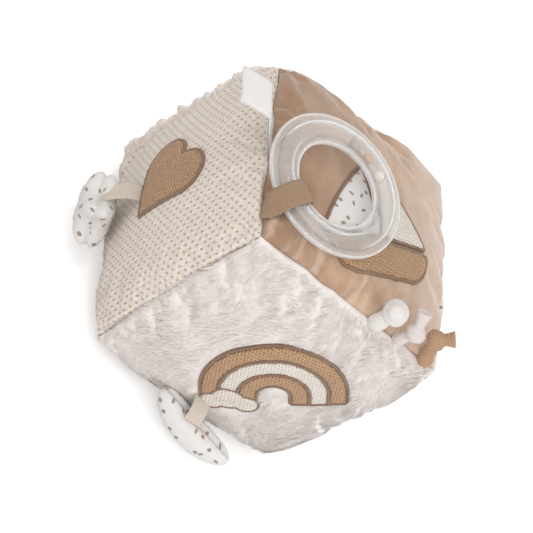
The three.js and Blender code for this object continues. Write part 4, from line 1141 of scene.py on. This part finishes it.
def add_moon():
    steps_s, steps_t, half = 84, 30, 10.0
    half_span, sag, wide = 31, 7, 10
    spine = (half_span ** 2 + sag ** 2) / (2 * sag)
    spine_angle = math.asin(half_span / spine)
    s = np.sin(np.linspace(-1, 1, steps_s + 1) * math.pi / 2 * 0.985)[None, :]
    t = np.sin(np.linspace(-1, 1, steps_t + 1) * math.pi / 2)[:, None]
    taper = 0.16 + 0.84 * np.sqrt(1 - s * s)
    ripple = 0.3 * smooth_noise(steps_s + 1, 22, 9)[None, :] * abs(t) ** 4
    swell = np.sqrt(np.maximum(0, (1 - s * s) * (1 - abs(t) ** 2.6)))
    crease = 1 - 0.1 * np.exp(-((1 - abs(t)) / 0.25) ** 2) * (1 + np.sin(s * 40)) / 2
    high = 0.15 + half * swell * crease
    radius = spine - t * (wide * taper + ripple) + np.sign(t) * seam_dip(high) * abs(t) ** 6
    run = laid_flat(radius, high)
    x, y = radius * np.sin(spine_angle * s), spine - sag / 2 - radius * np.cos(spine_angle * s)
    uv = np.stack([s * 33 + 0 * run, run - run[steps_t // 2]], -1).reshape(-1, 2)
    sheets = [np.stack([x, y, side * high], -1).reshape(-1, 3) for side in (1, -1)]
    turn = Matrix.Rotation(math.radians(-20), 3, "Y")
    dangler("moon", "front", MOON_AT, turn, sheets, grid_faces(steps_s + 1, steps_t + 1),
            [uv + MAP_SHIFT, uv - MAP_SHIFT])


def add_dangler_ribbon(name, side, root, end, width):
    """A ribbon from its side's cover at root (u, v) to its dangler's edge at end (u, v, w)."""
    sink, thick, bend_from, bend_to = 2.2, 1.2, 4, 12
    out = (side.cover(root[0] / side.half[0], root[1] / side.half[1]) - CENTRE) @ side.axes[2]
    knots = quadratic((root[1], out - sink), (root[1], (out + end[2]) / 2 + 1), (end[1], end[2]), 14)
    line = resampled(np.concatenate([knots, knots[-1:] + (knots[-1:] - knots[-2:-1]) * 0.8]), 0.7)
    local = np.column_stack([np.linspace(root[0], end[0], len(line)), line])
    points, faces, uvs = band(side.place(local), side.axes[0], width, thick, curl=0.3)
    obj = piece(name, points, faces, None, "beige_ribbon", uvs)
    start, stop = side.place(local[bend_from]), side.place(local[min(bend_to, len(local) - 1)])
    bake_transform(obj)


def add_dangler_ribbons():
    lift = star_edge(math.radians(36)) * 0.8
    star_end = (0.5, STAR_AT[1] + lift * math.cos(STAR_TILT), STAR_AT[2] + lift * math.sin(STAR_TILT))
    add_dangler_ribbon("star_ribbon", SIDES["left"], (-1, -21), star_end, 14)
    add_dangler_ribbon("moon_ribbon", SIDES["front"], (-5.2, -46), (-5.2, -53.5, 105), 12.5)


# Knotted tails
def add_tail(name, along, stem, knot, end, reach, at, way, slot, is_ball=False):
    """A stem from the top front seam, a knot of three turns of cloth and the tail's open end."""
    root = front_seam(along - HALF)
    outward = np.array([0, -1, 1]) / math.sqrt(2)
    centre = root + np.array(at, float)
    way, lean = unit(np.array(way, float)), unit(np.array(at, float))
    axis = unit(lean + way)
    finish = centre + way * reach
    path = smooth_line([root - outward * 1.5, root + outward * 2.5, root + lean * 6 + outward, centre], 0.8)
    bulge = np.sin(np.linspace(0.35, 1, len(path)) * math.pi) ** 0.7
    parts = [tube(path, stem * (0.55 + 0.45 * bulge))]
    if is_ball:
        steps = np.linspace(-0.99, 0.99, 24)
        parts.append(tube(centre + np.outer(steps, axis) * knot, knot * np.sqrt(1 - steps ** 2), 28))
    for tilt, size, thick in ((0.0, 0.62, 0.43), (1.15, 0.56, 0.4), (-1.0, 0.5, 0.42)):
        normal = Matrix.Rotation(tilt, 3, Vector(np.cross(axis, [0.3, 0.9, 0.2])).normalized()) @ Vector(axis)
        first = normal.orthogonal().normalized()
        angles = np.linspace(0, TAU, 40)
        turn = np.outer(np.cos(angles), first) + np.outer(np.sin(angles), normal.cross(first))
        parts.append(tube(centre + knot * size * turn, knot * thick * (1 + 0.08 * np.sin(2 * angles))))
    path = smooth_line([centre, centre + way * reach * 0.5, finish], 0.7)
    run = np.linspace(0, 1, len(path))
    widths = 1.15 * np.sqrt(1 - run ** 3 * 0.97) if is_ball else 0.62 + 0.5 * run ** 1.5
    parts.append(tube(path, end * widths, 20))
    points, faces, _ = join([(p, f, p) for p, f in parts])
    obj = piece(name, points, faces, None, slot)
    remesh = obj.modifiers.new("remesh", "REMESH")
    remesh.mode = "VOXEL"
    remesh.voxel_size = 0.45 * MM
    soften = obj.modifiers.new("soften", "SMOOTH")
    soften.factor, soften.iterations = 0.5, 24 if is_ball else 7
    mesh = applied(obj)
    spots = np.array([v.co for v in mesh.vertices]) / MM
    height = (spots - finish) @ way
    aside = np.linalg.norm(spots - finish - np.outer(height, way), axis=1)
    deep = 0.5 if is_ball else 3.0
    hollow = np.where(height > -1.2, -deep * np.exp(-(aside / (end * 0.6)) ** 4), 0)
    mesh.vertices.foreach_set("co", ((spots + np.outer(hollow, way)) * MM).ravel())
    mesh.update()
    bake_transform(obj)


def add_tails():
    add_tail("white_tail", 93, 5.4, 7.9, 5.4, 11, (0, -2, 16), (-0.5, -0.67, 0.55), "white_jersey", True)
    add_tail("grey_tail", 113.5, 3.6, 6.3, 4.4, 14.5, (0, -4, 14.5), (-0.35, 0.45, 0.8), "rose_jersey")
    add_tail("tan_tail", 139, 4.8, 6.6, 4.8, 11.5, (-9, -1, 18), (0.6, 0, 0.8), "rib_knit")


# Inside: wadding in two halves and the rattle
def add_wadding(points, faces):
    deep = PANEL + 0.6
    inner = points - vertex_normals(points, faces) * deep
    inner[:, 2] = np.maximum(inner[:, 2], deep)
    pocket = bpy.data.meshes.new("pocket")
    work = bmesh.new()
    bmesh.ops.create_uvsphere(work, u_segments=48, v_segments=24, radius=(CASE + SEAT) * MM,
                              matrix=Matrix.Translation(Vector(CENTRE * MM)))
    work.to_mesh(pocket)
    work.free()
    hollow = bpy.data.objects.new("pocket", pocket)
    scene.collection.objects.link(hollow)
    for name, side in (("wadding_upper", 1), ("wadding_lower", -1)):
        obj = piece(name, inner, faces, "block", "wadding")
        work = bmesh.new()
        work.from_mesh(obj.data)
        level = (MIDDLE + side * SEAT / 2) * MM
        cut = bmesh.ops.bisect_plane(work, geom=work.verts[:] + work.edges[:] + work.faces[:],
                                     plane_co=(0, 0, level), plane_no=(0, 0, side), clear_inner=True)
        bmesh.ops.edgeloop_fill(work, edges=[e for e in cut["geom_cut"] if isinstance(e, bmesh.types.BMEdge)])
        bmesh.ops.recalc_face_normals(work, faces=work.faces)
        work.to_mesh(obj.data)
        work.free()
        cutter = obj.modifiers.new("pocket", "BOOLEAN")
        cutter.operation, cutter.object, cutter.solver = "DIFFERENCE", hollow, "EXACT"
        applied(obj)
    bpy.data.objects.remove(hollow)


def add_rattle():
    arc, hair = np.linspace(0, math.pi / 2, 20), 0.02
    outer, inner = (np.stack([np.maximum(hair, r * np.sin(arc)), np.maximum(SEAT / 2, r * np.cos(arc))], -1)
                    for r in (CASE, CASE - CASE_WALL))
    points, faces = lathe(np.concatenate([outer, inner[::-1]]), 64)
    for name, side in (("rattle_case_upper", 1), ("rattle_case_lower", -1)):
        piece(name, points * (1, 1, side) + CENTRE, faces, "block", "rattle_plastic", sharp=50)
    centre = np.mean(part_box("rattle_ball"), axis=0) / MM
    points, faces = ball(BALL, 24, 36)
    piece("rattle_ball", points + centre, faces, "rattle", "rattle_plastic")


# Brushed pile of the fur side: many thin curved tufts
def sampled(grid, s, t):
    """Values of a side's fine grid at s and t, which go from -1 to 1."""
    steps = grid.shape[0] - 1
    x, y = (s + 1) / 2 * steps, (t + 1) / 2 * steps
    i, j = np.minimum(x.astype(int), steps - 1), np.minimum(y.astype(int), steps - 1)
    f, g = (x - i)[:, None], (y - j)[:, None]
    return ((1 - f) * (1 - g) * grid[j, i] + f * (1 - g) * grid[j, i + 1]
            + (1 - f) * g * grid[j + 1, i] + f * g * grid[j + 1, i + 1])


def add_pile():
    side = SIDES["front"]
    count = 30000
    s, t = rng.uniform(-0.995, 0.995, count), rng.uniform(-0.995, 0.995, count)
    root, out = (sampled(grid, s, t) for grid in fields["front"])
    flat = side.flat(root)
    clear = np.minimum(*(outline(flat) for outline in OUTLINES["front"])) > 1.0
    root, out, flat = root[clear], out[clear], flat[clear]
    count = len(root)
    swirl = np.array([1.6 * field.noise(Vector((x / 42, y / 42, 3.1)))
                      + 0.35 * field.noise(Vector((x / 15, y / 15, 8.7))) for x, y in flat])
    heading = -1.9 + 1.2 * swirl + rng.normal(0, 0.1, count)
    lie = np.stack([np.cos(heading), np.sin(heading)], -1) @ side.axes[:2]
    lie = unit(lie - out * np.sum(lie * out, 1, keepdims=True))
    aside = np.cross(out, lie)
    length = rng.uniform(3.6, 6.6, count)[:, None]
    width = rng.uniform(0.35, 0.6, count)[:, None]
    curve = rng.uniform(-0.25, 0.25, count)[:, None]
    rows = []
    for share, up, wide in ((0.0, -0.04, 1.0), (0.3, 0.07, 0.95), (0.65, 0.1, 0.7), (1.0, 0.08, 0.12)):
        spot = root + lie * length * share + out * length * up + aside * length * curve * share ** 2
        rows += [spot - aside * width / 2 * wide, spot + aside * width / 2 * wide]
    starts = np.arange(count) * len(rows)
    faces = np.concatenate([np.stack([starts + k, starts + k + 1, starts + k + 3, starts + k + 2], -1)
                            for k in (0, 2, 4)])
    piece("fur_pile", np.stack(rows, 1).reshape(-1, 3), faces, "block", "pile_fur", nodes=(), tidy=False)


# Floor, sky and lamps
def add_stage():
    floor = bpy.data.objects.new("floor", bpy.data.meshes.new("floor"))
    floor.data.from_pydata([(-6, -6, 0), (6, -6, 0), (6, 6, 0), (-6, 6, 0)], [], [(0, 1, 2, 3)])
    scene.collection.objects.link(floor)
    m = Shader("floor", 0.9)
    m.colour(srgb(222, 222, 222))
    m.bsdf.inputs["Emission Color"].default_value = (1, 1, 1, 1)
    m.tree.links.new(m.times(m.seen(), 0.45), m.bsdf.inputs["Emission Strength"])
    floor.data.materials.append(materials["floor"])
    sky = bpy.data.worlds.new("sky")
    scene.world = sky
    sky.use_nodes = True
    nodes = Nodes(sky.node_tree)
    background = sky.node_tree.nodes["Background"]
    background.inputs[0].default_value = (1, 1, 1, 1)
    nodes.tree.links.new(nodes.add("MapRange", {0: nodes.seen(), 3: 0.94, 4: 1.0}), background.inputs[1])
    scene.view_settings.view_transform = "Standard"
    for name, place, size, energy in (("key", (-0.7, -0.95, 0.95), 0.9, 3.5),
                                      ("fill", (0.2, -1.2, 0.3), 1.2, 6.0),
                                      ("spark", (-0.35, 0.1, 1.1), 0.12, 0.8)):
        lamp = bpy.data.objects.new(name, bpy.data.lights.new(name, "AREA"))
        lamp.data.size, lamp.data.energy = size, energy
        scene.collection.objects.link(lamp)
        lamp.location = place
        lamp.rotation_mode = "QUATERNION"
        lamp.rotation_quaternion = (Vector(place) - Vector(CENTRE * MM)).to_track_quat("Z", "Y")


make_camera()
make_materials()
cover, cover_faces = add_block()
add_heart()
add_rainbow()
add_boat()
add_pile()
add_wadding(cover, cover_faces)
add_rattle()
add_ring()
add_beads()
add_ring_ribbon()
add_satin_loop()
add_star()
add_moon()
add_dangler_ribbons()
add_tails()
add_stage()
